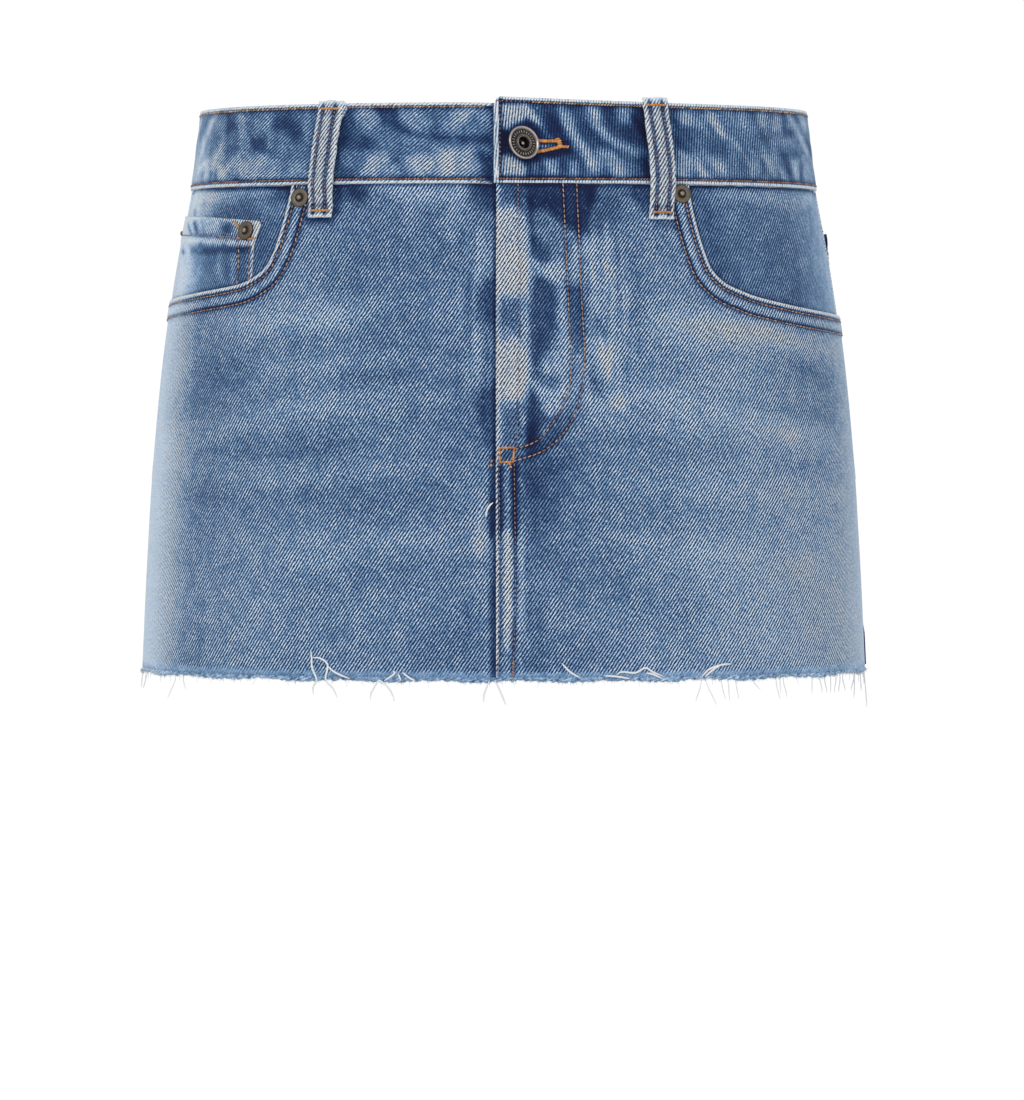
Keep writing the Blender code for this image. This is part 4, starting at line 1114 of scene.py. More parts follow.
coin_inner_side = [COIN_INNER_TOP, (-122.2, -39.2), (-124.8, -45.0),
    (-126.6, -51.0), coin_edge_at(COIN_INNER_FOOT)]
coin_top = [COIN_OUTER_TOP, (-182.0, -33.8), (-160.0, -34.6), COIN_INNER_TOP]
COIN_HEM = smooth_line([(-206.0, -42.0), (-182.0, -43.0), (-158.0, -43.6), (-143.0, -44.8), (-126.4, -45.8)])
COIN_ROWS = (
    COIN_HEM,
    [(-129.6, -46.4), (-128.8, -55.0), (-129.2, -65.5)],
    [(-136.0, -46.8), (-135.4, -56.0), (-136.2, -67.0)],
)
COIN_WASH = [Patch(*row) for row in (
    (-0.06, 2.5, ((-150, -40), (-122, -40), (-122, -48), (-150, -50))),
    (-0.06, 4.0, ((-186, -35), (-126, -38), (-126, -48), (-186, -46))),
    # crumpled along its hem
    (-0.46, 1.3, ((-177, -36.5), (-172.5, -36), (-167.5, -42), (-170, -42.6))),
    (-0.50, 1.3, ((-186, -37.4), (-183, -36.6), (-175, -42), (-178, -42.6))),
    (-0.12, 1.3, ((-167, -36), (-165, -36), (-161, -42), (-163, -43))),
    (-0.24, 2.0, ((-148, -39), (-142, -37.6), (-137, -43.6), (-146, -43.6))),
    (0.16, 1.8, ((-170, -35), (-150, -36), (-152, -43), (-165, -42))),
    (0.14, 1.2, ((-141, -41), (-138.6, -42), (-139, -44.4), (-141.6, -44))),
    (0.18, 1.2, ((-128, -38), (-123, -38), (-123, -41), (-126, -45), (-130, -44))),
    (0.26, 0.9, ((-180, -44.4), (-158, -45.2), (-143, -46.6), (-127, -47.4), (-127, -49.2), (-152, -48.6),
        (-180, -46.8))),
    (-0.20, 0.9, ((-166, -46), (-163, -46), (-164, -48.6), (-167, -48.4))),
    (-0.20, 0.9, box(-147, -47, -144, -49.2)),
    (-0.18, 1.4, ((-176, -49), (-150, -50), (-127.5, -49.8), (-127.5, -52), (-152, -53.4), (-176, -52))),
    (-0.50, 1.4, ((-194, -50), (-189, -49), (-184, -51.6), (-187, -52.8))),
    (0.20, 1.2, ((-184, -48), (-180, -49), (-176, -54), (-180, -56), (-181, -51))),
    (0.10, 1.6, ((-151, -52), (-147, -52), (-148, -64), (-151, -62))),
    (-0.08, 1.6, ((-145.5, -52), (-141.5, -52), (-141, -66), (-145, -66))),
    (-0.10, 1.4, box(-136, -50, -131, -66)),
    (0.10, 4.0, ((-190, -56), (-164, -58), (-160, -68), (-190, -70))),
)]


def coin_lift(across, height):
    lift = panel_lift(across, height)
    below = distance_to(coin_top, across, height)
    lift += 0.45 * (1 - eased(below, 12.0, 14.5)) - 0.25 * bell(distance_to(coin_inner_side, across, height), 0.6)
    draw_in(lift, COIN_ROWS, across, height, 0.25)
    return lift


def coin_wear_and_shading(across, height):
    # the paleness towards the side is painted highlight
    wear = 0.36 + 0.66 * eased(-across, 156.0, 190.0) + washed_and_shaded_by(COIN_WASH, across, height)
    wear += 0.20 * (1 - eased(distance_to(coin_top, across, height), 7.0, 13.0))
    wear += 0.26 * bell(distance_to(coin_top, across, height), 1.2)
    wear += 0.20 * bell(distance_to(COIN_HEM, across, height) - 2.6, 1.4) * (height < -44)
    wear += 0.40 * bell(distance_to(coin_inner_side, across, height), 1.3)
    for row in COIN_ROWS:
        wear -= 0.16 * bell(distance_to(row, across, height), 0.8)
    # painted shadow beside the raised edge of the pocket mouth
    return wear - 0.18 * bell(distance_to(MOUTHS[-1], across, height), 1.4)


def coin_crisp(across, height):
    return 1.0 - 0.7 * eased(-across, 136.0, 176.0)


coin_outline = coin_top + coin_inner_side[1:]
coin_outline += [point for point in coin_foot if COIN_OUTER_TOP.across < point[0] < COIN_INNER_FOOT]
coin_outline += [coin_edge_at(COIN_OUTER_TOP.across)]
coin_outline = [on_cloth(*point) for point in coin_outline]
coin_pocket = cloth_piece(
    "coin_pocket_cloth", coin_outline, coin_lift, FACING_WALL, coin_wear_and_shading, (facing_denim, reverse_denim),
    crease_rows(COIN_ROWS, -0.9, 0.0, 0.9), pitch=1.3, crisp=coin_crisp,
)
coin_rows = [row_on(row, coin_lift, FACING_WALL) for row in COIN_ROWS]
coin_sewing = stitches("coin_pocket_topstitch", coin_rows, rust_thread, 21)
COIN_TACKS = ([(-138.6, -37.6), (-135.0, -40.6)], [(-136.0, -45.4), (-126.6, -46.1)])
coin_tack_rows = [row_on(row, coin_lift, FACING_WALL, 0.3) for row in COIN_TACKS]
coin_tacks = stitches("coin_pocket_tacks", coin_tack_rows, bright_thread, 22, pitch=0.6, length=1.4, turn=90.0)
sew_in(
    coin_pocket, "coin_pocket",
)

# ---- back panels, yokes and back pockets --------------------------------------------------
# Each half of the back is a yoke over a panel, lap-seamed with two rows of thread. A five-sided
# patch pocket is sewn to each panel, and its mouth is turned in and rubbed pale.

YOKE_AT_SIDE = -38.0
YOKE_AT_BACK = -70.0
YOKE_ROWS = (2.0, 8.0)
CENTRE_ROWS = (2.2, 8.6)


def yoke_seam(side):
    """The yoke's lower edge, as shares and heights."""
    return [(side * SIDE, YOKE_AT_SIDE), (side, YOKE_AT_BACK)]


def seam_height(across, height):
    """Height of the yoke's lower edge above or below each place."""
    share = np.abs(across) / half_girth(height)
    return YOKE_AT_SIDE + (YOKE_AT_BACK - YOKE_AT_SIDE) * (share - SIDE) / (1 - SIDE)


SEAT = Spot(330.0, -130.0)
SEAT_SIZE = (90.0, 60.0)  # half its width and half its height


def seam_edge_off(across, height, near, far):
    """1 at the left side seam's edge above the hem, where it stands off and is painted dark as its shadow."""
    past = across - SIDE * half_girth(height)
    return (across > 0) * (1 - eased(past, near, far)) * eased(-height, 230.0, 242.0)


def back_lift(across, height):
    lift = panel_lift(across, height)
    below = seam_height(across, height) - height
    for row in YOKE_ROWS:
        lift -= STITCH_SINKS * bell(below - row, STITCH_GROOVE)
    from_centre = half_girth(height) - np.abs(across)
    for row in CENTRE_ROWS:
        lift -= STITCH_SINKS * bell(from_centre - row, STITCH_GROOVE) * (across > 0)
    return lift + 1.3 * seam_edge_off(across, height, 1.0, 7.0)


def back_wear_and_shading(across, height):
    wear = panel_wear_and_shading(across, height)
    below = seam_height(across, height) - height
    wear += 0.24 * bell(below, 1.6) - 0.16 * bell(below - 10.5, 2.2)
    wear += 0.22 * bell(half_girth(height) - np.abs(across), 1.6)
    seat = bell(np.abs(across) - SEAT.across, SEAT_SIZE[0]) * bell(height - SEAT.height, SEAT_SIZE[1])
    # painted shadow on the side seam's edge where it stands off
    wear -= 0.85 * seam_edge_off(across, height, 0.1, 0.8)
    return wear + 0.08 * seat - 0.06 * bell(height - SKIRT_TOP, 6.0)


back_panels = {}
for side, word, seed in ((1, "left", 31), (-1, "right", 34)):
    at_back = -side * SEAM_GAP
    yoke_outline = [on_seam(side * SIDE, SKIRT_TOP), on_seam(side, SKIRT_TOP, at_back)]
    yoke_outline += [on_seam(side, YOKE_AT_BACK, at_back), on_seam(side * SIDE, YOKE_AT_SIDE)]
    yoke = cloth_piece(
        f"yoke_{word}_cloth", yoke_outline, back_lift, CLOTH, back_wear_and_shading, (panel_denim, reverse_denim),
        pitch=3.2, crisp=panel_crisp, grain_at=side,
    )
    sew_in(yoke, f"back_yoke_{word}")

    panel_outline = [on_seam(side * SIDE, YOKE_AT_SIDE - SEAM_GAP)]
    panel_outline += [on_seam(side, YOKE_AT_BACK - SEAM_GAP, at_back)]
    panel_outline += [on_seam(side, HEM, at_back), on_seam(side * SIDE, HEM)]
    edge_crease = [on_seam(SIDE, height, 0.8) for height in (-226.0, HEM + 0.5)]
    panel = cloth_piece(
        f"back_{word}_cloth", panel_outline, back_lift, CLOTH, back_wear_and_shading, (panel_denim, reverse_denim),
        [edge_crease] if side > 0 else (), pitch=3.2, crisp=panel_crisp, grain_at=side,
    )
    seam = spaced([(share * PATTERN_WIDTH, height) for share, height in yoke_seam(side)], 4.0)
    rows = []
    for away in YOKE_ROWS:
        rows.append(row_on([(x / PATTERN_WIDTH, y - away) for x, y in seam], back_lift, CLOTH, shares=True))
    if side > 0:
        for away in CENTRE_ROWS:
            line = [(1 - away / half_girth(y), y) for y in np.linspace(SKIRT_TOP, HEM, 60)]
            rows.append(row_on(line, back_lift, CLOTH, shares=True))
    seam_sewing = stitches(f"back_{word}_topstitch", rows, rust_thread, seed)
    sew_in(panel, f"back_panel_{word}")
    back_panels[word] = panel

BackPocket = namedtuple("BackPocket", "across height top_width foot_width side_height tip_height slope")
BACK_POCKET = BackPocket(310.0, -57.0, 152.0, 132.0, 116.0, 138.0, -0.148)
POCKET_ROWS = (2.2, 8.2)
POCKET_HEM = 15.0


def pocket_corners(side, inset=0.0, hem=0.0):
    """Corners of a back pocket, or of a row of stitches inside it, from its mouth round its foot."""
    pocket = BACK_POCKET
    corners = (
        (-pocket.top_width / 2 + inset, -hem),
        (pocket.top_width / 2 - inset, -hem),
        (pocket.foot_width / 2 - inset, -pocket.side_height + inset * 0.85),
        (0, -pocket.tip_height + inset),
        (-pocket.foot_width / 2 + inset, -pocket.side_height + inset * 0.85),
    )
    return [(side * (pocket.across + x), pocket.height + y + x * pocket.slope) for x, y in corners]


for side, word, seed in ((1, "left", 37), (-1, "right", 39)):
    corners = pocket_corners(side)
    if side > 0:  # its outer corner is pulled up
        corners[0] = (corners[0][0], corners[0][1] + 4.2)
    mouth = corners[:2]
    border = corners[1:] + corners[:1]
    hem_row = pocket_corners(side, 0.0, POCKET_HEM)[:2]
    round_rows = []
    for inset in POCKET_ROWS:
        inner = pocket_corners(side, inset, 0.5)
        round_rows.append(inner[1:] + inner[:1])

    pocket_lines = (hem_row, *round_rows)

    def pocket_lift(across, height):
        lift = back_lift(across, height) + CLOTH + GAP
        if side > 0:  # its outer corner has come away from the body
            lift += 2.7 * bell(np.hypot(across - mouth[0][0], height - mouth[0][1]), 13.0)
        lift += 0.7 * (1 - eased(distance_to(mouth, across, height), POCKET_HEM - 0.5, POCKET_HEM + 2.0))
        draw_in(lift, pocket_lines, across, height)
        return lift

    def pocket_wear_and_shading(across, height):
        edge = distance_to(border, across, height)
        wear = panel_wear_and_shading(across, height) + 0.05 + 0.22 * bell(edge, 1.8) - 0.12 * bell(edge - 10.6, 2.4)
        wear += 0.34 * bell(distance_to(mouth, across, height), 2.0)
        if side > 0:  # the corner that has come away shows its dark edge, partly unfaded cloth and partly painted shade
            from_corner = np.hypot(across - mouth[0][0], height - mouth[0][1])
            wear -= 1.3 * (1 - eased(edge, 0.9, 2.4)) * (1 - eased(from_corner, 12.0, 17.0))
        return wear - 0.16 * bell(distance_to(hem_row, across, height) - 1.5, 1.6)

    outline = [on_cloth(*corner) for corner in corners]
    pocket = cloth_piece(
        f"back_pocket_{word}_cloth", outline, pocket_lift, CLOTH, pocket_wear_and_shading, (panel_denim, reverse_denim),
        pitch=2.6, crisp=panel_crisp, grain_at=side,
    )
    rows = [row_on(row, pocket_lift, CLOTH) for row in pocket_lines]
    sewing = stitches(f"back_pocket_{word}_topstitch", rows, rust_thread, seed)
    sew_in(pocket, f"back_pocket_{word}")

# ---- waistband ----------------------------------------------------------------------------
# One doubled strip cut along the warp and set on with a row of stitches by each edge. The seam
# draws it into short slanting puckers that wear pale on top. Its ends lap under the button.

BAND_TOP = 19.0
BAND_WALL = 2.4
BAND_SUNK = 0.8  # its inner face lies this far inside the form
BAND_END = -4.6
BAND_RISE = 3.0
BAND_RISE_ENDS = 120.0  # from here on its top is level
BAND_UNDERLAP = 34.0
BAND_ROW = 2.1  # rows of stitches lie this far inside both long edges
band_denim = denim("denim_waistband", 42.0, depth=0.68, bleached_from=0.44, bleached_over=0.26, blue_kept=1.0)


def band_top(across):
    """The top edge rises towards the lapping end."""
    away = np.clip((across - BAND_END) / (BAND_RISE_ENDS - BAND_END), 0, 1)
    return BAND_TOP + BAND_RISE * (1 - away) ** 2


def round_band(across, height):
    """A place on the strip, wrapped to how far it lies from the centre front."""
    whole = 2 * half_girth(height)
    return (across + whole / 2) % whole - whole / 2


def band_puckers(across, height):
    """Short slanting ridges, drawn up between the two rows of stitches: from -1 to 1."""
    lean = height * 0.75 + across
    ridges = noise_at(lean, height, 5.2, 13.0, 4.0) + 0.6 * noise_at(lean, height, 10.5, 22.0, 9.0)
    hidden = eased(np.abs(round_band(across, height)), 176.0, 200.0)
    return np.clip(ridges * 2.1, -1, 1) * (0.25 + 0.75 * hidden)


LOOP_PLACES = (-87.4, 76.0)
BAND_WASH_AND_SHADE = [Patch(*row) for row in (
    (0.10, 5.0, box(-215, -2, -150, -19)),
    (0.11, 5.0, box(-215, 20, -168, -20)),
    # painted shade beside the foot of the right front loop
    (-0.12, 2.0, box(-81, -12, -72, -19)),
    (0.05, 3.0, box(-4, -1, 5, -14)),
    (0.08, 4.0, box(-215, 20, -158, 8)),
    (0.07, 3.0, box(150, 20, 210, 10)),
    (0.06, 4.0, box(160, 0, 210, -14)),
    (0.05, 3.0, box(42, 19, 60, 11)),
    (0.06, 3.0, box(-20, 19, -6, 8)),
    (-0.06, 2.5, box(-42, 12, -32, 5)),
    (0.17, 0.8, ((16.4, -0.8), (25, -0.8), (25.2, -2.6), (17, -3.8))),
    (-0.07, 3.0, box(10, -8, 38, -19)),
    (0.09, 2.5, box(54, -6, 66, -17)),
    (0.07, 4.0, ((92, 12), (108, 10), (108, -10), (94, -8))),
    (0.06, 4.0, box(124, -4, 142, -14)),
    (0.10, 2.5, box(-37, -5, -24, -18)),
    (-0.07, 4.0, box(-130, 10, -98, -14)),
    (-0.05, 4.0, box(-160, 13, -122, 2)),
    (-0.10, 5.0, box(-9, 26, 72, -24)),
    # bleached on the puckers, from the button to the loop and beyond
    (0.34, 1.3, ((-1.4, 18.2), (11, 18.4), (15, 14), (18.5, 8), (16.5, 8), (12, 11.5), (5, 8.5), (2, 5.5),
        (-1.4, 6))),
    (0.34, 1.3, ((-1.4, -7), (4, -7), (8, -9.5), (11, -12), (11, -16.4), (-1.4, -16.4))),
    (0.18, 1.2, ((13.8, -11), (16.4, -11), (16, -16), (14, -16))),
    (0.24, 1.6, ((20, -8.5), (26.5, -8.5), (26, -16), (20.5, -16))),
    (0.24, 1.5, ((31, -9.5), (36, -9.5), (35.4, -17), (31.4, -17))),
    (0.24, 1.7, ((25.5, 18.4), (32.5, 13.5), (35.5, 5), (41.5, -3), (44, -11), (40.5, -12), (37, -4),
        (31, 4), (28, 10))),
    (0.22, 1.7, ((38, 17.5), (45.5, 17), (46.6, 9.5), (51, 3), (58, -0.6), (66, -4.4), (65, -6.6),
        (55, -3), (48, 1.5), (43, 7.5))),
    (0.18, 2.2, ((40, -12), (46, -3), (53, -4), (58, -10), (62, -16.5), (55, -17), (48, -12), (44, -17),
        (40, -17))),
    (0.16, 1.8, ((54, 17.2), (61, 16.6), (60.6, 9.4), (56, 9.4))),
    (0.14, 2.0, ((85, 15), (93, 17), (92, 9), (87, 8))),
    (0.24, 1.6, ((99, 17.4), (104, 15.6), (108.5, 9), (112.5, 3), (109, 3), (104, 8), (100, 13))),
    (0.16, 1.8, ((86, -5), (92.5, -6), (92, -16), (86, -16))),
    (0.24, 1.7, ((95, -7), (100, -13), (103.5, -16.6), (97.6, -16.6), (94.4, -10))),
    (0.16, 1.8, ((103, -8), (111, -10), (111, -17), (106, -15))),
    (0.20, 0.7, ((17, -3.0), (24, -2.6), (24.6, -1.6), (17, -1.8))),
    # dye kept in the hollows between them
    (-0.26, 2.0, ((-1, 5), (3, 6.5), (11, 11), (17, 7.5), (20, 2), (32, 1), (33, -5.5), (22, -8),
        (10, -9.6), (3, -7), (-1, -6))),
    (-0.14, 1.8, ((17, 18), (24.5, 17.6), (27.5, 9), (31, 2), (20, 3.5), (20.5, 9))),
    (-0.10, 2.2, ((36.5, 12), (40.6, 8), (50, -1), (56, -6), (46, -3), (38.5, 3))),
    (-0.16, 2.2, ((47.4, 17), (53, 17), (55, 8), (62, 8.6), (62.4, 16), (69, 17), (70, -3), (60, 0.6),
        (52, 4.6), (48, 9))),
    (-0.12, 2.0, ((60, -8), (71, -6), (71, -17), (64.5, -17))),
    (-0.12, 2.0, ((84, 9), (96, 7), (101, 10), (112, 1), (112, -6), (100, -6), (94, -4), (84, -3))),
    # painted shade beside both sides of the left front loop, in this row and the next
    (-0.10, 2.0, ((63, 17), (70, 18), (71.5, 0), (66, 4), (63, 8))),
    (-0.08, 1.4, ((82, 18), (85, 18), (86.4, 0), (86.5, -8), (84, -8))),
    # the underlap's side of the fly and on to the other loop
    (0.16, 1.8, ((-72, 17), (-64.4, 17), (-60.6, 9), (-66, 4.6), (-70.6, 10))),
    (0.15, 2.0, ((-50, 16), (-42, 16), (-37, 12), (-31, 9), (-44, 4.6), (-50.6, 10))),
    (0.17, 1.8, ((-25, 17), (-14, 16), (-17, 10), (-25, 4.6), (-29, 8))),
    (0.18, 1.8, ((-66, -8), (-57.4, -4), (-54.6, -8), (-62, -17), (-68.6, -16))),
    (0.12, 1.8, ((-57, -13), (-50, -10), (-50, -17), (-56, -17))),
    (0.20, 1.8, ((-48, -6.6), (-38, -6), (-33, -10), (-37, -16.6), (-46, -16.6))),
    (0.18, 2.0, ((-31, -3), (-14, -3), (-12, -12), (-17, -16.6), (-31, -16.6))),
    (0.14, 2.0, ((-106, -9.6), (-98, -10), (-97, -16.6), (-108, -16.6))),
    (0.12, 1.8, ((-97, 17), (-94, 8), (-96.4, 0), (-100, 8))),
    (0.10, 2.0, ((-112, 6), (-105, 8), (-104, -4), (-112, -6))),
    (-0.20, 1.8, ((-62, 17), (-52, 16.6), (-48, 9), (-40, 4.4), (-22, 2.6), (-6, 4), (-6, -1.4),
        (-28, 0.6), (-46, 3), (-58, 9))),
    (-0.16, 2.0, ((-79, 14), (-73.6, 15), (-71, 5), (-61.6, 1.4), (-60, -3), (-68, -4), (-79, -3))),
    (-0.20, 1.8, ((-12, -5), (-5.4, -6), (-5.4, -17.4), (-11, -17.4), (-10.4, -11))),
    (-0.10, 2.0, ((-36, 16), (-29, 12), (-38, 13))),
    # painted shade beside the right front loop
    (-0.10, 2.0, ((-80, 16.5), (-75.5, 16.5), (-75.6, 2), (-78.6, -4), (-80, -8), (-83, -8))),
    (-0.10, 2.0, ((-55, -3), (-46, -5), (-49, -12), (-55, -10))),
    (-0.14, 2.0, ((-112, 15), (-103, 15), (-99, 7), (-104, 0), (-112, 8))),
    # round the wearer's right side
    (0.14, 1.4, ((-138, 15.4), (-133.4, 15.4), (-133.4, 5), (-136.6, 3.4))),
    (0.10, 2.0, ((-131, 12), (-121, 14), (-117, 3), (-128, 5))),
    (0.10, 1.6, ((-121, 16), (-115, 16), (-117, 4), (-121, 7))),
    (-0.14, 2.0, ((-130, 4), (-121, 2), (-117, -4), (-130, -3))),
    (-0.12, 1.4, ((-116, 14), (-112.6, 14), (-112, 7), (-115.6, 7))),
    (0.14, 2.0, ((-141, -9), (-119, -5), (-112, -9), (-112, -17), (-141, -16))),
    (-0.16, 1.0, ((-140, -14), (-137.4, -13), (-137, -17.4), (-140, -17.4))),
    (-0.12, 1.0, ((-124.4, -12), (-122.6, -12), (-122, -17.4), (-125, -17.4))),
    (0.22, 1.3, ((-160, 16), (-155.6, 16), (-163, 8), (-168, 2), (-171, -3), (-176, -5), (-172, 3),
        (-166, 10))),
    (0.20, 1.0, ((-178, -12.6), (-166, -8.6), (-158, -5.6), (-166, -6.4), (-177, -9.4))),
    (0.20, 1.0, ((-160, -10.6), (-151.6, 1.4), (-149.8, 2), (-152, -2), (-158.4, -11.6))),
    (0.20, 1.0, ((-151, -13.4), (-137, -3), (-135.6, -4.6), (-148, -15.4))),
    (0.18, 1.3, ((-166.4, -8.6), (-161.6, -8.6), (-161, -15.4), (-166, -15.8))),
    (0.16, 1.2, ((-154.4, -8.4), (-150, -9), (-148.4, -14), (-152, -16))),
    (-0.14, 2.0, ((-147, 16), (-139.6, 16), (-139, 9), (-147, 6))),
    (-0.24, 2.0, ((-176, 15), (-164, 16), (-171, 8), (-179, 2), (-182, 8))),
    (-0.24, 0.9, ((-161, -12), (-158, -12), (-157.6, -17.4), (-161.4, -17.4))),
    (-0.24, 0.9, ((-156, -11.6), (-154.4, -11), (-152.6, -17.4), (-157, -17.4))),
    (-0.16, 0.9, ((-170, -12), (-168, -12), (-167, -17.4), (-171.4, -17.4))),
    (-0.12, 1.8, ((-148.6, -3), (-141, 3), (-139, -1), (-146, -8))),
    (-0.08, 2.0, ((-167, -4), (-158, 1), (-153, 7), (-153, 2), (-160, -4))),
    # and round the left
    (0.16, 1.3, ((113.6, 4), (117, 1), (121.4, -3), (118.4, -3.6), (113, 1.6))),
    (0.12, 1.6, ((117.4, 16), (121.4, 16), (122, 9), (118, 9))),
    (0.16, 1.4, ((130, 16.4), (134, 16.4), (138.4, 9), (135, 8), (131, 11))),
    (0.14, 1.6, ((143, 16), (149, 15), (148, 7), (142, 7.6), (141, 12))),
    (0.20, 1.5, ((153, 17), (157, 16), (164, 9), (172, 3), (180, -3), (175, -3.4), (165, 4), (158, 10))),
    (0.14, 1.6, ((166, 17), (173, 17), (181, 10), (176, 8), (170, 12))),
    (0.10, 1.6, ((140, 4), (152, 3.4), (162, 4.4), (161, 0), (150, 0.6), (140, 0))),
    (0.10, 1.8, ((134, -5), (143, -4), (145, -12), (141, -17), (135, -10))),
    (0.10, 1.6, ((124, -8), (129.4, -8), (130, -15), (126, -16.4))),
    (0.20, 1.6, ((155, -6), (163, -6), (162, -17), (158, -17))),
    (0.12, 1.8, ((168, -9), (178, -8), (176, -14), (170, -16.4))),
    (0.12, 1.0, ((145, -10), (149, -12), (149, -16.4), (146, -16.4))),
    (-0.10, 2.2, ((128, 5), (134, 7.6), (141, 3), (134, 0), (127, 1))),
    (-0.18, 1.8, ((148.6, 10), (160, 8), (157, 5), (149, 5))),
    (-0.14, 1.2, ((147.6, 17), (152, 17), (154, 12), (149.6, 9))),
    (-0.18, 1.3, ((158.6, 16), (163, 16), (168.6, 12), (162, 11.6))),
    (-0.18, 1.6, ((146, -3), (152.4, -3), (155.4, -12), (154, -16.4), (149.6, -10))),
    (-0.14, 1.2, ((132.6, -8), (135, -8), (135, -15), (132, -15))),
    (-0.16, 1.4, ((164, -9), (168, -9), (165.6, -16.4), (163, -16.4))),
    (-0.12, 1.5, ((158, -1.6), (172, -1.6), (166, -5), (158, -5))),
    (-0.24, 2.0, ((172, 7), (186, 3), (194, -2), (184, -3), (175, 2.6))),
)]


def band_lift(across, height):
    start = 2 * half_girth(height) + BAND_END - GAP - LAP_RAMP
    sunk = np.clip((across - start) / LAP_RAMP, 0, 1)
    lift = -BAND_SUNK - (BAND_WALL + GAP) * sunk
    middle = eased(height, BAND_BOTTOM + 1.5, BAND_BOTTOM + 8.0) * (1 - eased(height, 12.0, 17.5))
    lift += 0.34 * middle * (band_puckers(across, height) - 0.6) * (1 - sunk)
    top = band_top(across)
    for away in (top - height, height - BAND_BOTTOM):
        lift -= STITCH_SINKS * bell(away - BAND_ROW, STITCH_GROOVE) + 0.25 * bell(away, 0.7)
    return lift


def band_wear_and_shading(across, height):
    top = band_top(across)
    at = round_band(across, height)
    under = 2 * half_girth(height) + BAND_END
    behind = eased(np.abs(at), 200.0, 240.0)
    wear = 0.37 + 0.06 * behind + (0.22 - 0.06 * behind) * band_puckers(across, height)
    wear += washed_and_shaded_by(BAND_WASH_AND_SHADE, np.where(across > under - 40, np.minimum(at, BAND_END - 1), at), height)
    # painted shade beside each front loop
    for place in LOOP_PLACES:
        wear -= 0.08 * bell(np.abs(at - place) - 6.5, 1.8)
    # paler towards the sides: painted highlight, as on the panels
    wear += 0.05 * eased(-at, 104.0, 130.0) * (1 - eased(-at, 215.0, 260.0))
    wear += 0.18 * eased(np.abs(at), 140.0, 186.0) * (1 - eased(np.abs(at), 215.0, 260.0))
    frayed = noise_at(across, height, 2.6, 9.0, 2.0)
    end = across - BAND_END
    for away, reach in ((top - height, 1.3), (height - BAND_BOTTOM, 1.3), (end, 2.4)):
        turned = 1 - eased(away, reach - 0.5, reach + 0.3)
        wear = wear * (1 - turned) + turned * (1.24 + 0.5 * frayed)
        wear -= 0.34 * bell(away - reach - 0.9, 1.0)
    for place in (25.0, -114.0):  # less rubbed along the foot
        wear -= 0.3 * bell(at - place, 18.0) * bell(height - BAND_BOTTOM, 1.8)
    # the end is folded twice, so a second bluer roll shows beside the first
    wear -= 0.62 * bell(end - 1.15, 0.35) + 0.40 * (1 - eased(end, 0.7, 1.1))
    lapped = eased(across, under - 2.0, under)
    return wear * (1 - lapped) + 0.2 * lapped


def band_crisp(across, height):
    """The weave is lost where the edges are turned over."""
    top = band_top(across)
    turned_over = bell(top - height, 1.8) + bell(height - BAND_BOTTOM, 1.8) + bell(across - BAND_END - 0.6, 2.0)
    at = round_band(across, height)
    sides = eased(at, 132.0, 168.0) + eased(-at, 146.0, 170.0)
    return (1.0 - 0.4 * np.minimum(turned_over, 1.0)) * (1.0 - 0.7 * sides)


whole = 2 * PATTERN_WIDTH
band_end = on_cloth(BAND_UNDERLAP, BAND_TOP)[0] + whole
END_CORNER = ((0, 5.4), (0.25, 3.6), (0.9, 1.9), (1.9, 0.7))  # rounded, at the lapping end
band_outline = [on_cloth(BAND_END + x, float(band_top(BAND_END)) - y) for x, y in END_CORNER]
rising = np.linspace(BAND_END + 3.2, BAND_RISE_ENDS, 13)
band_outline += [on_cloth(across, float(band_top(across))) for across in rising]
band_outline += [(band_end, BAND_TOP), (band_end, BAND_BOTTOM), on_cloth(BAND_END, BAND_BOTTOM)]
band_outline = band_outline[::-1]
band_creases = []
for across in (BAND_END - GAP - LAP_RAMP, BAND_END - GAP):
    top, foot = on_cloth(across, BAND_TOP + 1), on_cloth(across, BAND_BOTTOM - 1)
    band_creases.append([(top[0] + whole, top[1]), (foot[0] + whole, foot[1])])
BAND_EVEN_TO = 812.0  # just short of where the strip sinks to pass under its own end
for away in (1.0, 1.7, BAND_ROW + 0.3, 3.2):
    for line in (
        [(x, float(band_top(x)) - away) for x in np.linspace(BAND_END, BAND_RISE_ENDS, 25)],
        [(x, BAND_TOP - away) for x in np.linspace(BAND_RISE_ENDS, BAND_EVEN_TO, 40)],
        [(x, BAND_BOTTOM + away) for x in np.linspace(BAND_END, BAND_EVEN_TO, 50)],
    ):
        band_creases.append([on_cloth(*point) for point in line])
for away in (0.4, 0.75, 1.15, 1.5, 1.9, 2.6, 3.2, 4.0):
    band_creases.append([on_cloth(BAND_END + away, 22.5), on_cloth(BAND_END + away, BAND_BOTTOM - 1)])
waistband = cloth_piece(
    "waistband_cloth", band_outline, band_lift, BAND_WALL, band_wear_and_shading, (band_denim, reverse_denim),
    band_creases, pitch=1.7, crisp=band_crisp,
)

# The twill runs nearly upright at the lapping end and leans over more and more along the strip.
LEANS_BETWEEN = (60.0, 320.0)
UPRIGHT_TURN = 0.95  # turns its lines nearly upright
UPRIGHT_CLOSER = 0.49  # and draws them together along the strip, so that the weave stays as fine
strip = np.arange(-10.0, 960.0, 1.0)
upright = 1 - eased(strip, *LEANS_BETWEEN)
drawn_out = np.cumsum(1 + UPRIGHT_CLOSER * upright)
wraps = waistband.data.uv_layers["cloth"].data
flat = np.zeros(2 * len(wraps))
wraps.foreach_get("uv", flat)
along, up = flat.reshape(-1, 2).T / MM
along *= half_girth(0.0) / half_girth(up)
along = np.interp(along, strip, drawn_out) + UPRIGHT_TURN * np.interp(along, strip, upright) * up
wraps.foreach_set("uv", (np.stack([along, up], axis=1) * MM).ravel())

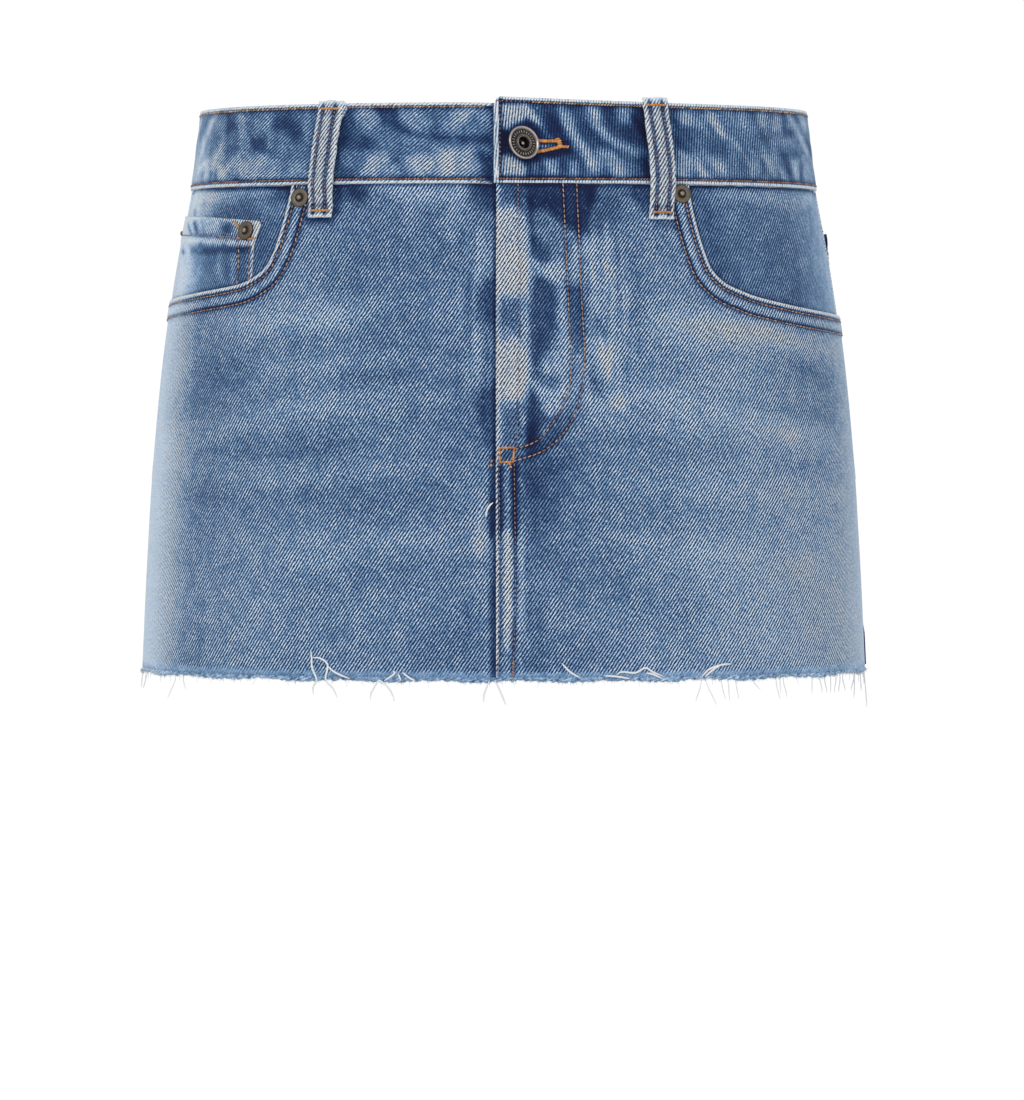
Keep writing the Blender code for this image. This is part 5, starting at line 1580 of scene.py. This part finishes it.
# The top row is sewn in the darker thread of the foot and the end for a few stitches by the button.
band_girth = 2 * half_girth(0.0) + BAND_END - 3.0
band_top_row = [(x, float(band_top(x)) - BAND_ROW) for x in np.linspace(BAND_END + 2.0, BAND_RISE_ENDS, 30)]
band_top_row += [(x, BAND_TOP - BAND_ROW) for x in np.linspace(BAND_RISE_ENDS + 4, band_girth - 14.0, 150)]
band_foot_row = [(x, BAND_BOTTOM + BAND_ROW) for x in np.linspace(BAND_END + 2.0, band_girth + 14.0, 180)]
band_end_row = [(BAND_END + 3.0, y) for y in np.linspace(BAND_BOTTOM + 2.0, 19.4, 10)]
band_rows = (band_top_row[4:], band_foot_row, band_end_row, band_top_row[:5])
band_rows = [row_on(row, band_lift, BAND_WALL) for row in band_rows]
long_rows = {"pitch": 1.45, "length": 1.65, "turn": 26.0}
end_rows = {"pitch": 2.1, "length": 1.3, "turn": 20.0}
band_sewing = stitches("waistband_topstitch", band_rows[:1], band_thread, 41, width=0.85, **long_rows)
foot_sewing = stitches("waistband_foot_topstitch", band_rows[1:2], foot_thread, 45, width=0.8, **long_rows)
end_sewing = stitches("waistband_end_topstitch", band_rows[2:], foot_thread, 46, width=0.7, **end_rows)

# The buttonhole is a slit edged with bright thread, oversewn, with a knot across its outer end.
HOLE_ROWS = (
    [(15.0, 0.6), (20.0, 0.2), (25.4, 0.3)],
    [(15.0, -5.0), (20.0, -4.3), (24.0, -3.3), (27.0, -2.6)],
)
HOLE_KNOT = ((25.8, 1.3), (26.8, 0.0), (27.2, -2.6))
HOLE_TAIL = ((28.0, -2.4), (31.0, -2.5))
hole_rows = [row_on(row, band_lift, BAND_WALL, 0.25) for row in HOLE_ROWS]
knot_rows = [row_on(HOLE_KNOT, band_lift, BAND_WALL, 0.35)]
tail_rows = [row_on(HOLE_TAIL, band_lift, BAND_WALL, 0.15)]
buttonhole = stitches("buttonhole", hole_rows, bright_thread, 42, pitch=0.6, length=2.0, width=0.75, turn=78.0)
hole_bar = stitches("buttonhole_knot", knot_rows, bright_thread, 43, pitch=0.65, length=2.9, width=1.0, turn=72.0)
hole_tail = stitches("buttonhole_tail", tail_rows, bright_thread, 44, pitch=0.7, length=1.9, width=0.8, turn=60.0)
sew_in(
    waistband, "waistband",
)

# ---- belt loops ---------------------------------------------------------------------------
# Five narrow strips, folded in along both sides with two rows of thread, turned under at each end
# and held by a bar of dense bright stitches. They bow off the band and are bleached by rubbing.

Loop = namedtuple("Loop", "name middle rows bars flare")  # flare: how far a top corner has frayed out
Middle = namedtuple("Middle", "height across")
LOOP_WALL = 1.8
LOOP_WIDTH = 12.3
LOOP_TOP = 21.0
LOOP_FOOT = -35.8
BACK_LOOP_SHARE = 0.72
LoopLevel = namedtuple("LoopLevel", "height stands_off")
LOOP_BOW = [LoopLevel(*row) for row in (
    (22.0, 1.9), (14.5, 1.9), (6.0, 3.6), (-9.0, 4.3), (-21.0, 3.8), (-29.0, 1.5), (-40.0, 1.5),
)]
RIGHT_MIDDLE = [Middle(*row) for row in (
    (20.0, -83.4), (10.0, -84.5), (0.0, -85.7), (-10.0, -86.9), (-20.0, -88.2), (-36.4, -89.2),
)]
LEFT_MIDDLE = [Middle(*row) for row in (
    (21.4, 72.9), (10.0, 74.0), (0.0, 75.0), (-10.0, 76.0), (-20.0, 76.6), (-37.4, 76.4),
)]
loops = [
    Loop("loop_front_right", RIGHT_MIDDLE, (-3.7, 2.4), (16.2, -33.2), 1.8),
    Loop("loop_front_left", LEFT_MIDDLE, (-2.9, 3.3), (17.8, -34.2), 0.3),
]
for place, share in (("back_right", -BACK_LOOP_SHARE), ("back_left", BACK_LOOP_SHARE), ("centre_back", 1.0)):
    middle = [Middle(height, float(share * half_girth(height))) for height in (LOOP_TOP, 0.0, LOOP_FOOT)]
    loops.append(Loop(f"loop_{place}", middle, (-3.2, 3.2), (17.4, -32.6), 0.0))
loop_denim = denim("denim_loop", 58.0, depth=0.76, bleached_from=0.3, blue_kept=1.0)


def loop_bow(height):
    heights = [level.height for level in LOOP_BOW][::-1]
    lifts = [level.stands_off for level in LOOP_BOW][::-1]
    return sum(np.interp(height + step, heights, lifts) for step in (-2, 0, 2)) / 3


for number, loop in enumerate(loops):
    top, foot = loop.middle[0].height, loop.middle[-1].height

    def middle_at(height):
        levels = loop.middle[::-1]
        return np.interp(height, [level.height for level in levels], [level.across for level in levels])

    def loop_lift(across, height):
        away = across - middle_at(height)
        lift = loop_bow(height) + 0.3 * bell(away, 2.2) - 0.35 * bell(np.abs(away) - LOOP_WIDTH / 2, 0.9)
        for row in loop.rows:
            lift -= 0.4 * bell(away - row, 0.8)
        return lift - 0.3 * bell(height - loop.bars[1], 1.2)

    def loop_wear(across, height):
        away = across - middle_at(height)
        wear = 0.64 + 0.28 * bell(np.abs(away) - LOOP_WIDTH / 2 + 0.5, 1.2)
        for row in loop.rows:
            wear -= 0.50 * bell(away - row, 1.05)
        wear += 0.7 * bell(height - top, 1.4) + 0.7 * bell(height - foot, 1.3)
        wear -= 0.24 * bell(height - loop.bars[1] - 2.4, 1.3) + 0.30 * bell(height - loop.bars[1] + 1.2, 0.6)
        return wear - 0.16 * bell(height - loop.bars[0] + 1.8, 1.2)

    def loop_crisp(across, height):
        crisp = 1.0 - 0.6 * bell(height - top, 2.2) - 0.4 * bell(height - foot, 1.6)
        for row in loop.rows:
            crisp *= 1.0 - 0.5 * bell(across - middle_at(height) - row, 0.8)
        return crisp

    draw = random.Random(70 + number)
    levels = np.linspace(top, foot, 30)
    sides = []
    for half in (-LOOP_WIDTH / 2, LOOP_WIDTH / 2):
        line = middle_at(levels) + half + loop.flare * bell(levels - 16.2, 2.4) * (half > 0)
        sides.append([(float(x) + draw.uniform(-0.16, 0.16), float(y)) for x, y in zip(line, levels)])
    middle = float(middle_at(top))
    ragged = [(middle + x, top + draw.uniform(-0.25, 0.35)) for x in (3.6, 1.2, -1.2, -3.6)]
    outline = [on_cloth(*point) for point in sides[0] + sides[1][::-1] + ragged]
    strip = cloth_piece(
        f"{loop.name}_cloth", outline, loop_lift, LOOP_WALL, loop_wear, (loop_denim, reverse_denim),
        pitch=0.8, crisp=loop_crisp, grain_at=float(middle_at(0.0)) / half_girth(0.0),
    )
    rows = []
    for row in loop.rows:
        line = [(float(middle_at(y)) + row, y) for y in np.linspace(loop.bars[0], loop.bars[1], 12)]
        rows.append(row_on(line, loop_lift, LOOP_WALL))
    sewing = stitches(f"{loop.name}_topstitch", rows, worn_thread, 51 + number, pitch=1.9, length=1.4, width=0.55)
    bars = []
    for height in loop.bars:
        across = float(middle_at(height))
        bars.append(row_on([(across - 4.4, height), (across + 4.4, height)], loop_lift, LOOP_WALL, 0.25))
    tacks = stitches(f"{loop.name}_tacks", bars, bright_thread, 61 + number, pitch=0.6, length=1.3, turn=90.0)
    sew_in(strip, f"belt_{loop.name}")

# ---- shank button and rivets --------------------------------------------------------------
# A cast pewter-coloured shank button with a rolled rim, a ribbed trough and a hollow middle, and
# four small rivets of antiqued brass, each a flat washer with the rivet's point through it.

Turning = namedtuple("Turning", "radius height")
BUTTON_PLACE = Spot(7.7, -1.8)
BUTTON_LEAN = math.radians(30.0)  # it has tipped on its shank
BUTTON_LEANS_TO = math.radians(18.0)  # above level, towards the buttonhole
BUTTON_PROFILE = [Turning(*row) for row in (
    (0.0, 3.9), (0.6, 3.8), (0.95, 3.4), (1.1, 2.4), (1.3, 1.6), (2.3, 1.6), (2.75, 2.4), (2.95, 4.4),
    (3.1, 4.75), (3.35, 4.75), (3.5, 4.5), (3.75, 4.45), (3.95, 4.65), (4.15, 4.65), (4.3, 4.2),
    (4.6, 4.1), (6.7, 4.2), (7.1, 4.55), (7.4, 5.0), (7.7, 5.15), (8.05, 5.05), (8.25, 4.75),
    (8.3, 4.3), (8.3, 3.6), (7.6, 3.0), (3.0, 2.6), (2.6, -3.4), (0.0, -3.4),
)]
RIVET_PROFILE = [Turning(*row) for row in (
    (0.0, 2.3), (0.6, 2.2), (1.05, 1.85), (1.3, 1.4), (1.45, 0.95), (2.0, 0.75), (2.2, 0.95),
    (2.5, 1.1), (3.7, 1.15), (4.4, 1.0), (4.7, 0.65), (4.7, 0.2), (4.4, 0.0), (0.0, 0.0),
)]


def metal(name, worn, dark, roughness):
    """Metal that is rubbed bright where it stands up and stays dark where it doesn't."""
    finish, tree, shader = new_finish(name)
    grime = grains_in(tree, 900.0, 4.0)
    share = sum_node(tree, "MULTIPLY", sum_node(tree, "SUBTRACT", grime, 0.5), 0.5)
    share = sum_node(tree, "ADD", read_note(tree, "rubbed"), share)
    colour = blended(tree, share, (*dark, 1.0), (*worn, 1.0))
    feeds = {"Base Color": colour, "Normal": bumped(tree, grime, 0.35, 0.00015), "Metallic": 0.85}
    feed(tree, shader, feeds | {"Roughness": ranged(tree, share, 0.0, 1.0, roughness + 0.2, roughness)})
    return finish


pewter = metal("pewter", (0.50, 0.44, 0.41), (0.036, 0.030, 0.029), 0.3)
antique_brass = metal("antique_brass", (0.30, 0.25, 0.19), (0.04, 0.032, 0.026), 0.42)


def axes_on(spot, lift, lean=0.0, leans_to=0.0):
    """Foot, sideways, upwards and outwards at a place on the cloth, for a piece that may lean."""
    share = spot.across / half_girth(spot.height)
    foot = spots_at(share, spot.height, lift)[0]
    outwards = spots_at(share, spot.height, lift + 10)[0] - foot
    outwards /= np.linalg.norm(outwards)
    sideways = np.cross((0, 0, 1), outwards)
    sideways /= np.linalg.norm(sideways)
    upwards = np.cross(outwards, sideways)
    tipped = math.cos(leans_to) * sideways + math.sin(leans_to) * upwards
    outwards = math.cos(lean) * outwards + math.sin(lean) * tipped
    sideways = np.cross(upwards, outwards)
    sideways /= np.linalg.norm(sideways)
    return foot, sideways, np.cross(outwards, sideways), outwards


def turned(name, profile, axes, finish, rubbed, steps=64):
    """A turned piece, closed at both ends of its axis."""
    foot, sideways, upwards, outwards = axes
    points, faces, heights = [], [], []
    rings = []
    for radius, height in profile:
        count = steps if radius else 1
        rings.append(list(range(len(points), len(points) + count)))
        for k in range(count):
            angle = 2 * math.pi * k / steps
            spoke = math.cos(angle) * sideways + math.sin(angle) * upwards
            points.append(foot + (spoke * radius + outwards * height) * MM)
            heights.append(rubbed(radius, height))
    for inner, outer in zip(rings, rings[1:]):
        for k in range(steps):
            a, b = inner[k % len(inner)], inner[(k + 1) % len(inner)]
            c, d = outer[(k + 1) % len(outer)], outer[k % len(outer)]
            if a == b:
                faces.append([a, d, c])
            else:
                faces.append([a, c, b] if c == d else [a, d, c, b])
    piece = new_piece(name, points, faces, finish)
    note(piece, "rubbed", heights)
    piece.data.set_sharp_from_angle(angle=math.radians(50))
    return piece


def button_rub(radius, height):
    """The rolled rims and the tip of the shank are rubbed bright, and the hollow is dark."""
    if radius < 0.9:
        return 0.9
    if radius < 2.9 and height < 3.0:
        return -0.6
    return float(np.clip((height - 4.2) / 0.7, 0, 1)) * (1.0 if radius > 6 else 0.6)


button_axes = axes_on(BUTTON_PLACE, BAND_WALL - BAND_SUNK + GAP, BUTTON_LEAN, BUTTON_LEANS_TO)
button = turned("shank_button", BUTTON_PROFILE, button_axes, pewter, button_rub)


def rib_tree():
    """A ring of short ribs, each pointing away from the middle."""
    inputs = [("Spokes", "Geometry", None), ("Length", "Float", 0.0018), ("Width", "Float", 0.0005)]
    tree, names, given = new_tree("ribs", "Ribs", inputs + [("Metal", "Material", None)])
    points = node(tree, "GeometryNodeMeshToPoints", {"Mesh": given["Spokes"]}, mode="VERTICES").outputs[0]
    lying = node(tree, "FunctionNodeAlignRotationToVector", {"Vector": outward_at(tree)}, axis="X").outputs[0]
    rib = node(tree, "GeometryNodeMeshUVSphere", {"Segments": 8, "Rings": 5, "Radius": 0.5}).outputs[0]
    size = xyz(tree, given["Length"], given["Width"], given["Width"])
    lay(tree, points, rib, lying, size, given["Metal"], ("rubbed", 0.7))
    return tree, names


RIBS = 26
RIB_RING = 5.65  # radius of the ring
RIB_HEIGHT = 4.2
foot, sideways, upwards, outwards = button_axes
turns = [2 * math.pi * k / RIBS for k in range(RIBS)]
spokes = [math.cos(turn) * sideways + math.sin(turn) * upwards for turn in turns]
rib_spots = np.array([foot + (spoke * RIB_RING + outwards * RIB_HEIGHT) * MM for spoke in spokes])
ribs = grown("button_ribs", rib_tree(), [(rib_spots, np.array(spokes))], {"Metal": pewter})
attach(button, "root")
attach(ribs, "root")
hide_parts("waist_button")

Rivet = namedtuple("Rivet", "node across height seat")
RIVETS = (
    Rivet("rivet_pocket_right", -100.1, -26.6, CLOTH),
    Rivet("rivet_pocket_left", 86.8, -24.9, CLOTH),
    Rivet("rivet_coin_inner", -131.0, -42.0, FACING_WALL),
    Rivet("rivet_coin_outer", -202.5, -41.4, FACING_WALL - 1.2),
)


def rivet_rub(radius, height):
    """The rivet's point is rubbed brightest, its washer less, and the hollow between is dark."""
    if radius < 1.1:
        return 1.2
    return 0.45 if 2.1 < radius < 4.5 else -0.15


for rivet in RIVETS:
    axes = axes_on(Spot(rivet.across, rivet.height), rivet.seat + GAP)
    head = turned(f"{rivet.node}_head", RIVET_PROFILE, axes, antique_brass, rivet_rub, steps=40)
    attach(head, "root")
    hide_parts(rivet.node)

# ---- frayed hem ---------------------------------------------------------------------------
# The hem was cut and never turned. Below the last whole weft thread the cloth is a narrow fuzzy
# fringe, with white weft threads that have worked loose and hang or lie up over the denim.

FRAY_BOTTOM = -259.0
fray_denim = denim("denim_frayed", 20.0, depth=0.9, bleached_from=0.9)


def loose_finish():
    """Undyed cotton thread, a little grey where it is twisted."""
    finish, tree, shader = new_finish("white_thread")
    twist = grains_in(tree, 1500.0)
    colour = blended(tree, twist, (0.76, 0.78, 0.81, 1.0), (0.92, 0.92, 0.91, 1.0))
    feeds = {"Base Color": colour, "Normal": bumped(tree, twist, 0.4, 0.0001)}
    feed(tree, shader, feeds | {"Roughness": 0.9, "Sheen Weight": 0.3})
    return finish


def nap_finish():
    """The short dyed fibres of the raw edge, between indigo and white."""
    finish, tree, shader = new_finish("frayed_blue")
    steps = ((0.4, (0.15, 0.25, 0.40)), (0.62, (0.36, 0.50, 0.67)))
    feed(tree, shader, {"Base Color": ramped(tree, grains_in(tree, 500.0), steps), "Roughness": 0.95})
    return finish


white_thread = loose_finish()
fray_blue = nap_finish()


def fuzz_tree():
    """Short bent fibres along a row, leaning out and down, each one turned and sized at random."""
    inputs = [("Row", "Geometry", None), ("Pitch", "Float", 0.0006), ("Length", "Float", 0.0022)]
    inputs += [("Thickness", "Float", 0.00011), ("Lean", "Float", 0.6)]
    inputs += [("Seed", "Int", 1), ("Thread", "Material", None)]
    tree, names, given = new_tree("fuzz", "Fuzz", inputs)
    points = points_along(tree, given)
    feeds = {0: outward_at(tree), "Scale": given["Lean"]}
    leaning = node(tree, "ShaderNodeVectorMath", feeds, operation="SCALE").outputs[0]
    feeds = {0: (-0.9, -0.9, -1.4), 1: (0.9, 0.9, -0.2), "Seed": given["Seed"]}
    astray = node(tree, "FunctionNodeRandomValue", feeds, data_type="FLOAT_VECTOR").outputs[0]
    way = node(tree, "ShaderNodeVectorMath", {0: leaning, 1: astray}, operation="ADD").outputs[0]
    hanging = node(tree, "FunctionNodeAlignRotationToVector", {"Vector": way}, axis="Z").outputs[0]
    feeds = {"Resolution": 3, "Start": (0, 0, -0.2), "Middle": (0.22, 0, 0.4), "End": (-0.05, 0.12, 1.0)}
    fibre = node(tree, "GeometryNodeCurveQuadraticBezier", feeds)
    round_one = node(tree, "GeometryNodeCurvePrimitiveCircle", {"Resolution": 3, "Radius": 0.05})
    feeds = {"Curve": fibre.outputs[0], "Profile Curve": round_one.outputs[0], "Fill Caps": True}
    strand = node(tree, "GeometryNodeCurveToMesh", feeds).outputs[0]
    long = node(tree, "FunctionNodeRandomValue", {2: 0.25, 3: 1.3, "Seed": given["Seed"]}, data_type="FLOAT")
    length = sum_node(tree, "MULTIPLY", given["Length"], long.outputs[1])
    thick = sum_node(tree, "MULTIPLY", given["Thickness"], 10.0)
    lay(tree, points[0], strand, hanging, xyz(tree, thick, thick, length), given["Thread"])
    return tree, names


FUZZ = fuzz_tree()


def tube(path, radius):
    """Points and faces of a thread with tapered ends along a path in metres."""
    path = np.asarray(path, float)
    ahead = np.gradient(path, axis=0)
    ahead /= np.linalg.norm(ahead, axis=1, keepdims=True)
    side = np.cross(ahead, (0.31, 0.2, 0.93))
    side /= np.linalg.norm(side, axis=1, keepdims=True)
    up = np.cross(ahead, side)
    points, faces = [], []
    count = THREAD_SIDES
    for k in range(len(path)):
        thick = radius * (1.0 - 0.7 * abs(2 * k / (len(path) - 1) - 1) ** 4)
        for step in range(count):
            angle = 2 * math.pi * step / count
            points.append(path[k] + thick * (math.cos(angle) * side[k] + math.sin(angle) * up[k]))
    for k in range(len(path) - 1):
        for step in range(count):
            a, b = k * count + step, k * count + (step + 1) % count
            faces.append([a, b, b + count, a + count])
    faces.append(list(range(count))[::-1])
    faces.append(list(range(len(points) - count, len(points))))
    return points, faces


# Threads that lie on the cloth or leave its edge: places along each one.
LOOSE_THREADS = (
    ((-93.4, -243.9), (-92.9, -247.7), (-92.6, -252.5), (-90.3, -258.2), (-92.3, -261.6), (-92.3, -265.2)),
    ((-92.9, -247.7), (-88.5, -247.9), (-84.7, -251.0), (-85.7, -258.1), (-82.2, -262.4), (-80.1, -266.6)),
    ((-84.7, -251.4), (-82.2, -253.8), (-78.7, -255.6), (-73.7, -257.5)),
    ((-63.8, -267.4), (-63.3, -264.0), (-60.4, -259.2), (-58.9, -258.3), (-55.5, -261.1), (-53.1, -264.7),
        (-52.1, -268.2)),
    ((-57.0, -258.3), (-52.1, -254.9), (-52.6, -253.5)),
    ((-50.2, -254.9), (-48.7, -258.2)),
    ((-48.2, -254.1), (-44.8, -256.7), (-42.0, -258.1)),
    ((-6.5, -257.6), (-8.9, -263.7), (-9.4, -268.0)),
    ((-4.1, -257.6), (-1.3, -263.7), (1.1, -269.4)),
    ((-4.9, -173.0), (-6.6, -174.6), (-7.9, -177.2), (-8.3, -180.0)),
    ((27.8, -249.7), (31.7, -253.8), (36.5, -256.7)),
    ((48.0, -255.8), (54.0, -256.2), (60.7, -257.3)),
    ((53.9, -255.4), (56.8, -254.0), (63.1, -254.5), (68.0, -252.2), (71.5, -254.1), (77.5, -256.6)),
    ((68.5, -254.6), (72.0, -255.4), (76.5, -257.5)),
    ((96.2, -256.9), (100.4, -253.1), (106.7, -251.3), (112.1, -251.0)),
    ((97.8, -256.9), (102.5, -253.2), (105.7, -251.8)),
)
Hanging = namedtuple("Hanging", "across drop drift")
HANGING_THREADS = [Hanging(*row) for row in (
    (-232.0, 9.0, -5.0), (-212.0, 8.0, -7.0), (-176.0, 11.0, -6.0), (-170.0, 6.0, 2.0),
    (96.4, 10.0, -3.2), (98.3, 11.5, 6.0), (106.7, 9.0, 2.2), (110.2, 9.6, 1.4), (114.5, 9.0, 1.8),
    (124.0, 5.0, 4.0), (137.6, 9.8, 2.0), (140.1, 6.8, -0.6), (142.2, 9.0, 1.8), (161.3, 8.0, -1.0),
    (167.3, 7.8, 0.3), (171.3, 8.0, 0.3), (175.5, 8.4, -1.0), (180.0, 8.2, -1.2), (184.0, 8.2, -1.4),
    (187.0, 8.0, 1.0), (202.0, 8.0, -7.0), (202.6, 12.0, -2.4), (213.7, 9.0, -3.0), (231.0, 19.0, 6.0),
    (236.0, 7.0, 5.0),
)]
WELL_OFF = 0.25  # a loose thread above the cloth
KNOWN_RADIUS = 0.28
LOOSE_RADIUS = 0.5
SHORT_RADIUS = 0.14
THREAD_SIDES = 5


def thread_path(places, draw):
    """A smooth path in metres through places on the cloth, standing a little off it."""
    line = np.array(smooth_line(places, 5))
    arch = 0.35 * np.sin(np.linspace(0.2, math.pi - 0.2, len(line))) * draw.uniform(0.4, 1.3)
    off = CLOTH + WELL_OFF + panel_lift(line[:, 0], line[:, 1]) + arch
    off = off - 0.8 * eased(-line[:, 1], 258.0, 262.0)
    return spots_at(line[:, 0] / half_girth(line[:, 1]), line[:, 1], off)


def hanging_path(across, drop, drift, draw):
    """A thread that leaves the fringe and hangs, curling a little."""
    down = np.linspace(0, 1, 9)
    curl = draw.uniform(-0.7, 0.7)
    sideways = across + drift * down**1.4 + curl * np.sin(down * math.pi * draw.uniform(1.0, 2.0))
    height = FRAY_BOTTOM + 1.6 - (drop + 1.6) * down
    off = CLOTH * 0.5 + draw.uniform(-0.3, 0.9) * down
    return spots_at(sideways / half_girth(FRAY_BOTTOM), height, off)


def fray(word, panel, start, end, known, loose, seed, short_drop):
    """One panel's fringe: a ragged strip of worn cloth, fuzz along it and the threads that hang."""
    draw = random.Random(seed)
    top = HEM - 0.03
    foot = []
    for across in np.arange(start, end, 1.3):
        ragged = FRAY_BOTTOM + 0.5 + draw.uniform(-0.55, 0.5) + 0.5 * math.sin(across / 7.0)
        foot.append((float(across), max(ragged, FRAY_BOTTOM - 0.2)))
    foot.append((end, FRAY_BOTTOM + 0.4))
    outline = [on_cloth(*place) for place in [(start, top)] + foot + [(end, top)]]

    def strip_lift(across, height):
        return panel_lift(across, height) + 0.1

    def strip_wear_and_shading(across, height):
        tufts = noise_at(across, height, 1.9, 1.1, 3.0)
        return panel_wear_and_shading(across, np.full(len(across), HEM)) + 0.02 + 0.5 * tufts

    def strip_crisp(across, height):
        return np.full(len(across), 0.15)

    strip = cloth_piece(
        f"fray_{word}_cloth", outline, strip_lift, CLOTH - 0.2, strip_wear_and_shading, (fray_denim, white_thread),
        pitch=0.9, crisp=strip_crisp,
    )
    edge = [(across, height + 0.35) for across, height in foot]
    fuzz_rows = [row_on(edge, strip_lift, CLOTH * stands, 0.0) for stands in (0.9, 0.2)]
    values = {"Seed": seed, "Thread": white_thread, "Length": 0.0013}
    fuzz = grown(f"fray_{word}_fuzz", FUZZ, fuzz_rows, values)
    values = {"Seed": seed + 1, "Thread": fray_blue, "Length": 0.0014}
    blue = grown(f"fray_{word}_nap", FUZZ, fuzz_rows, values)
    threads = [(hanging_path(*thread, draw), KNOWN_RADIUS) for thread in known]
    threads += [(thread_path(places, draw), LOOSE_RADIUS) for places in loose]
    across = start + 3.0
    while across < end - 3.0:
        if all(abs(across - thread.across) > 2.4 for thread in known):
            thread = Hanging(across, draw.uniform(*short_drop), draw.uniform(-1.2, 1.2))
            threads.append((hanging_path(*thread, draw), SHORT_RADIUS))
        across += draw.uniform(4.0, 13.0)
    points, faces = [], []
    for path, radius in threads:
        spots, sides = tube(path, radius * MM)
        faces += [[i + len(points) for i in face] for face in sides]
        points += spots
    loose_ends = new_piece(f"fray_{word}_threads", points, faces, white_thread)
    for piece in (strip, fuzz, blue, loose_ends):
        piece.parent = panel
    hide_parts(f"hem_fray_{word}")


half = float(half_girth(FRAY_BOTTOM))
side_seam = SIDE * half
front = FLY_FOLD - GAP / 2
right_known = [thread for thread in HANGING_THREADS if thread.across < 0]
left_known = [thread for thread in HANGING_THREADS if thread.across > 0]
right_loose = [places for places in LOOSE_THREADS if places[0][0] < -5]
left_loose = [places for places in LOOSE_THREADS if places[0][0] > -5]
SHORT = (1.0, 3.2)
UNEVEN = (1.5, 9.0)
fray("front_right", front_right, -side_seam + SEAM_GAP, front - SEAM_GAP, right_known, right_loose, 3, SHORT)
fray("front_left", front_left, front + SEAM_GAP, side_seam - SEAM_GAP, left_known, left_loose, 5, SHORT)
fray("back_left", back_panels["left"], side_seam + SEAM_GAP, half - SEAM_GAP, (), (), 7, UNEVEN)
fray("back_right", back_panels["right"], -half + SEAM_GAP, -side_seam - SEAM_GAP, (), (), 11, UNEVEN)

# ---- floor, light and camera --------------------------------------------------------------
# A wide pale floor far below the hanging skirt, a white room with soft lamps, and a long lens
# a little above the middle of the skirt, looking slightly down.

FLOOR_HEIGHT = -0.95
FLOOR_RADIUS = 3.0
FLOOR_SIDES = 96
turns = [2 * math.pi * k / FLOOR_SIDES for k in range(FLOOR_SIDES)]
rim = [(FLOOR_RADIUS * math.cos(turn), FLOOR_RADIUS * math.sin(turn), FLOOR_HEIGHT) for turn in turns]
pale, pale_tree, pale_shader = new_finish("pale_floor")
feed(pale_tree, pale_shader, {"Base Color": (0.86, 0.86, 0.86, 1.0), "Roughness": 0.9})
floor = new_piece("floor", rim, [range(FLOOR_SIDES)], pale)

scene = bpy.context.scene
scene.view_settings.view_transform = "Standard"
world = bpy.data.worlds.new("white_room")
scene.world = world
world.use_nodes = True
room = world.node_tree
seen = node(room, "ShaderNodeBackground", {"Color": (1.0, 1.0, 1.0, 1.0), "Strength": 1.02})
lit = node(room, "ShaderNodeBackground", {"Color": (0.97, 0.985, 1.0, 1.0), "Strength": 0.62})
ray = node(room, "ShaderNodeLightPath").outputs["Is Camera Ray"]
mixed_room = node(room, "ShaderNodeMixShader", {0: ray, 1: lit.outputs[0], 2: seen.outputs[0]})
room.links.new(mixed_room.outputs[0], room.nodes["World Output"].inputs["Surface"])

Lamp = namedtuple("Lamp", "name place size power")
LAMPS = (
    Lamp("key", (-1.3, -2.2, 1.5), 1.4, 26.0),
    Lamp("fill", (1.6, -2.4, 0.4), 1.8, 12.0),
    Lamp("back", (0.6, 2.2, 1.4), 1.6, 16.0),
)
for lamp in LAMPS:
    light = bpy.data.lights.new(lamp.name, "AREA")
    light.size = lamp.size
    light.energy = lamp.power
    lamp_object = bpy.data.objects.new(lamp.name, light)
    lamp_object.location = lamp.place
    aim = Vector((0.0, 0.0, -0.12)) - Vector(lamp.place)
    lamp_object.rotation_euler = aim.to_track_quat("-Z", "Y").to_euler()
    scene.collection.objects.link(lamp_object)

LENS = 5200.0  # length of the lens, in pixels of a frame that is this high
FRAME_HEIGHT = 1100.0
SENSOR = 36.0  # mm, the height of the frame
LOOKS_DOWN = 150.0  # pixels by which the middle of the frame lies below the camera's level
camera = bpy.data.cameras.new("camera")
camera.lens = LENS / FRAME_HEIGHT * SENSOR
camera.sensor_width = SENSOR
camera_object = bpy.data.objects.new("camera", camera)
camera_object.location = (0.00415, -2.6, -0.124)
camera_object.rotation_euler = (math.radians(90.0) - math.atan(LOOKS_DOWN / LENS), 0.0, 0.0)
scene.collection.objects.link(camera_object)
scene.camera = camera_object
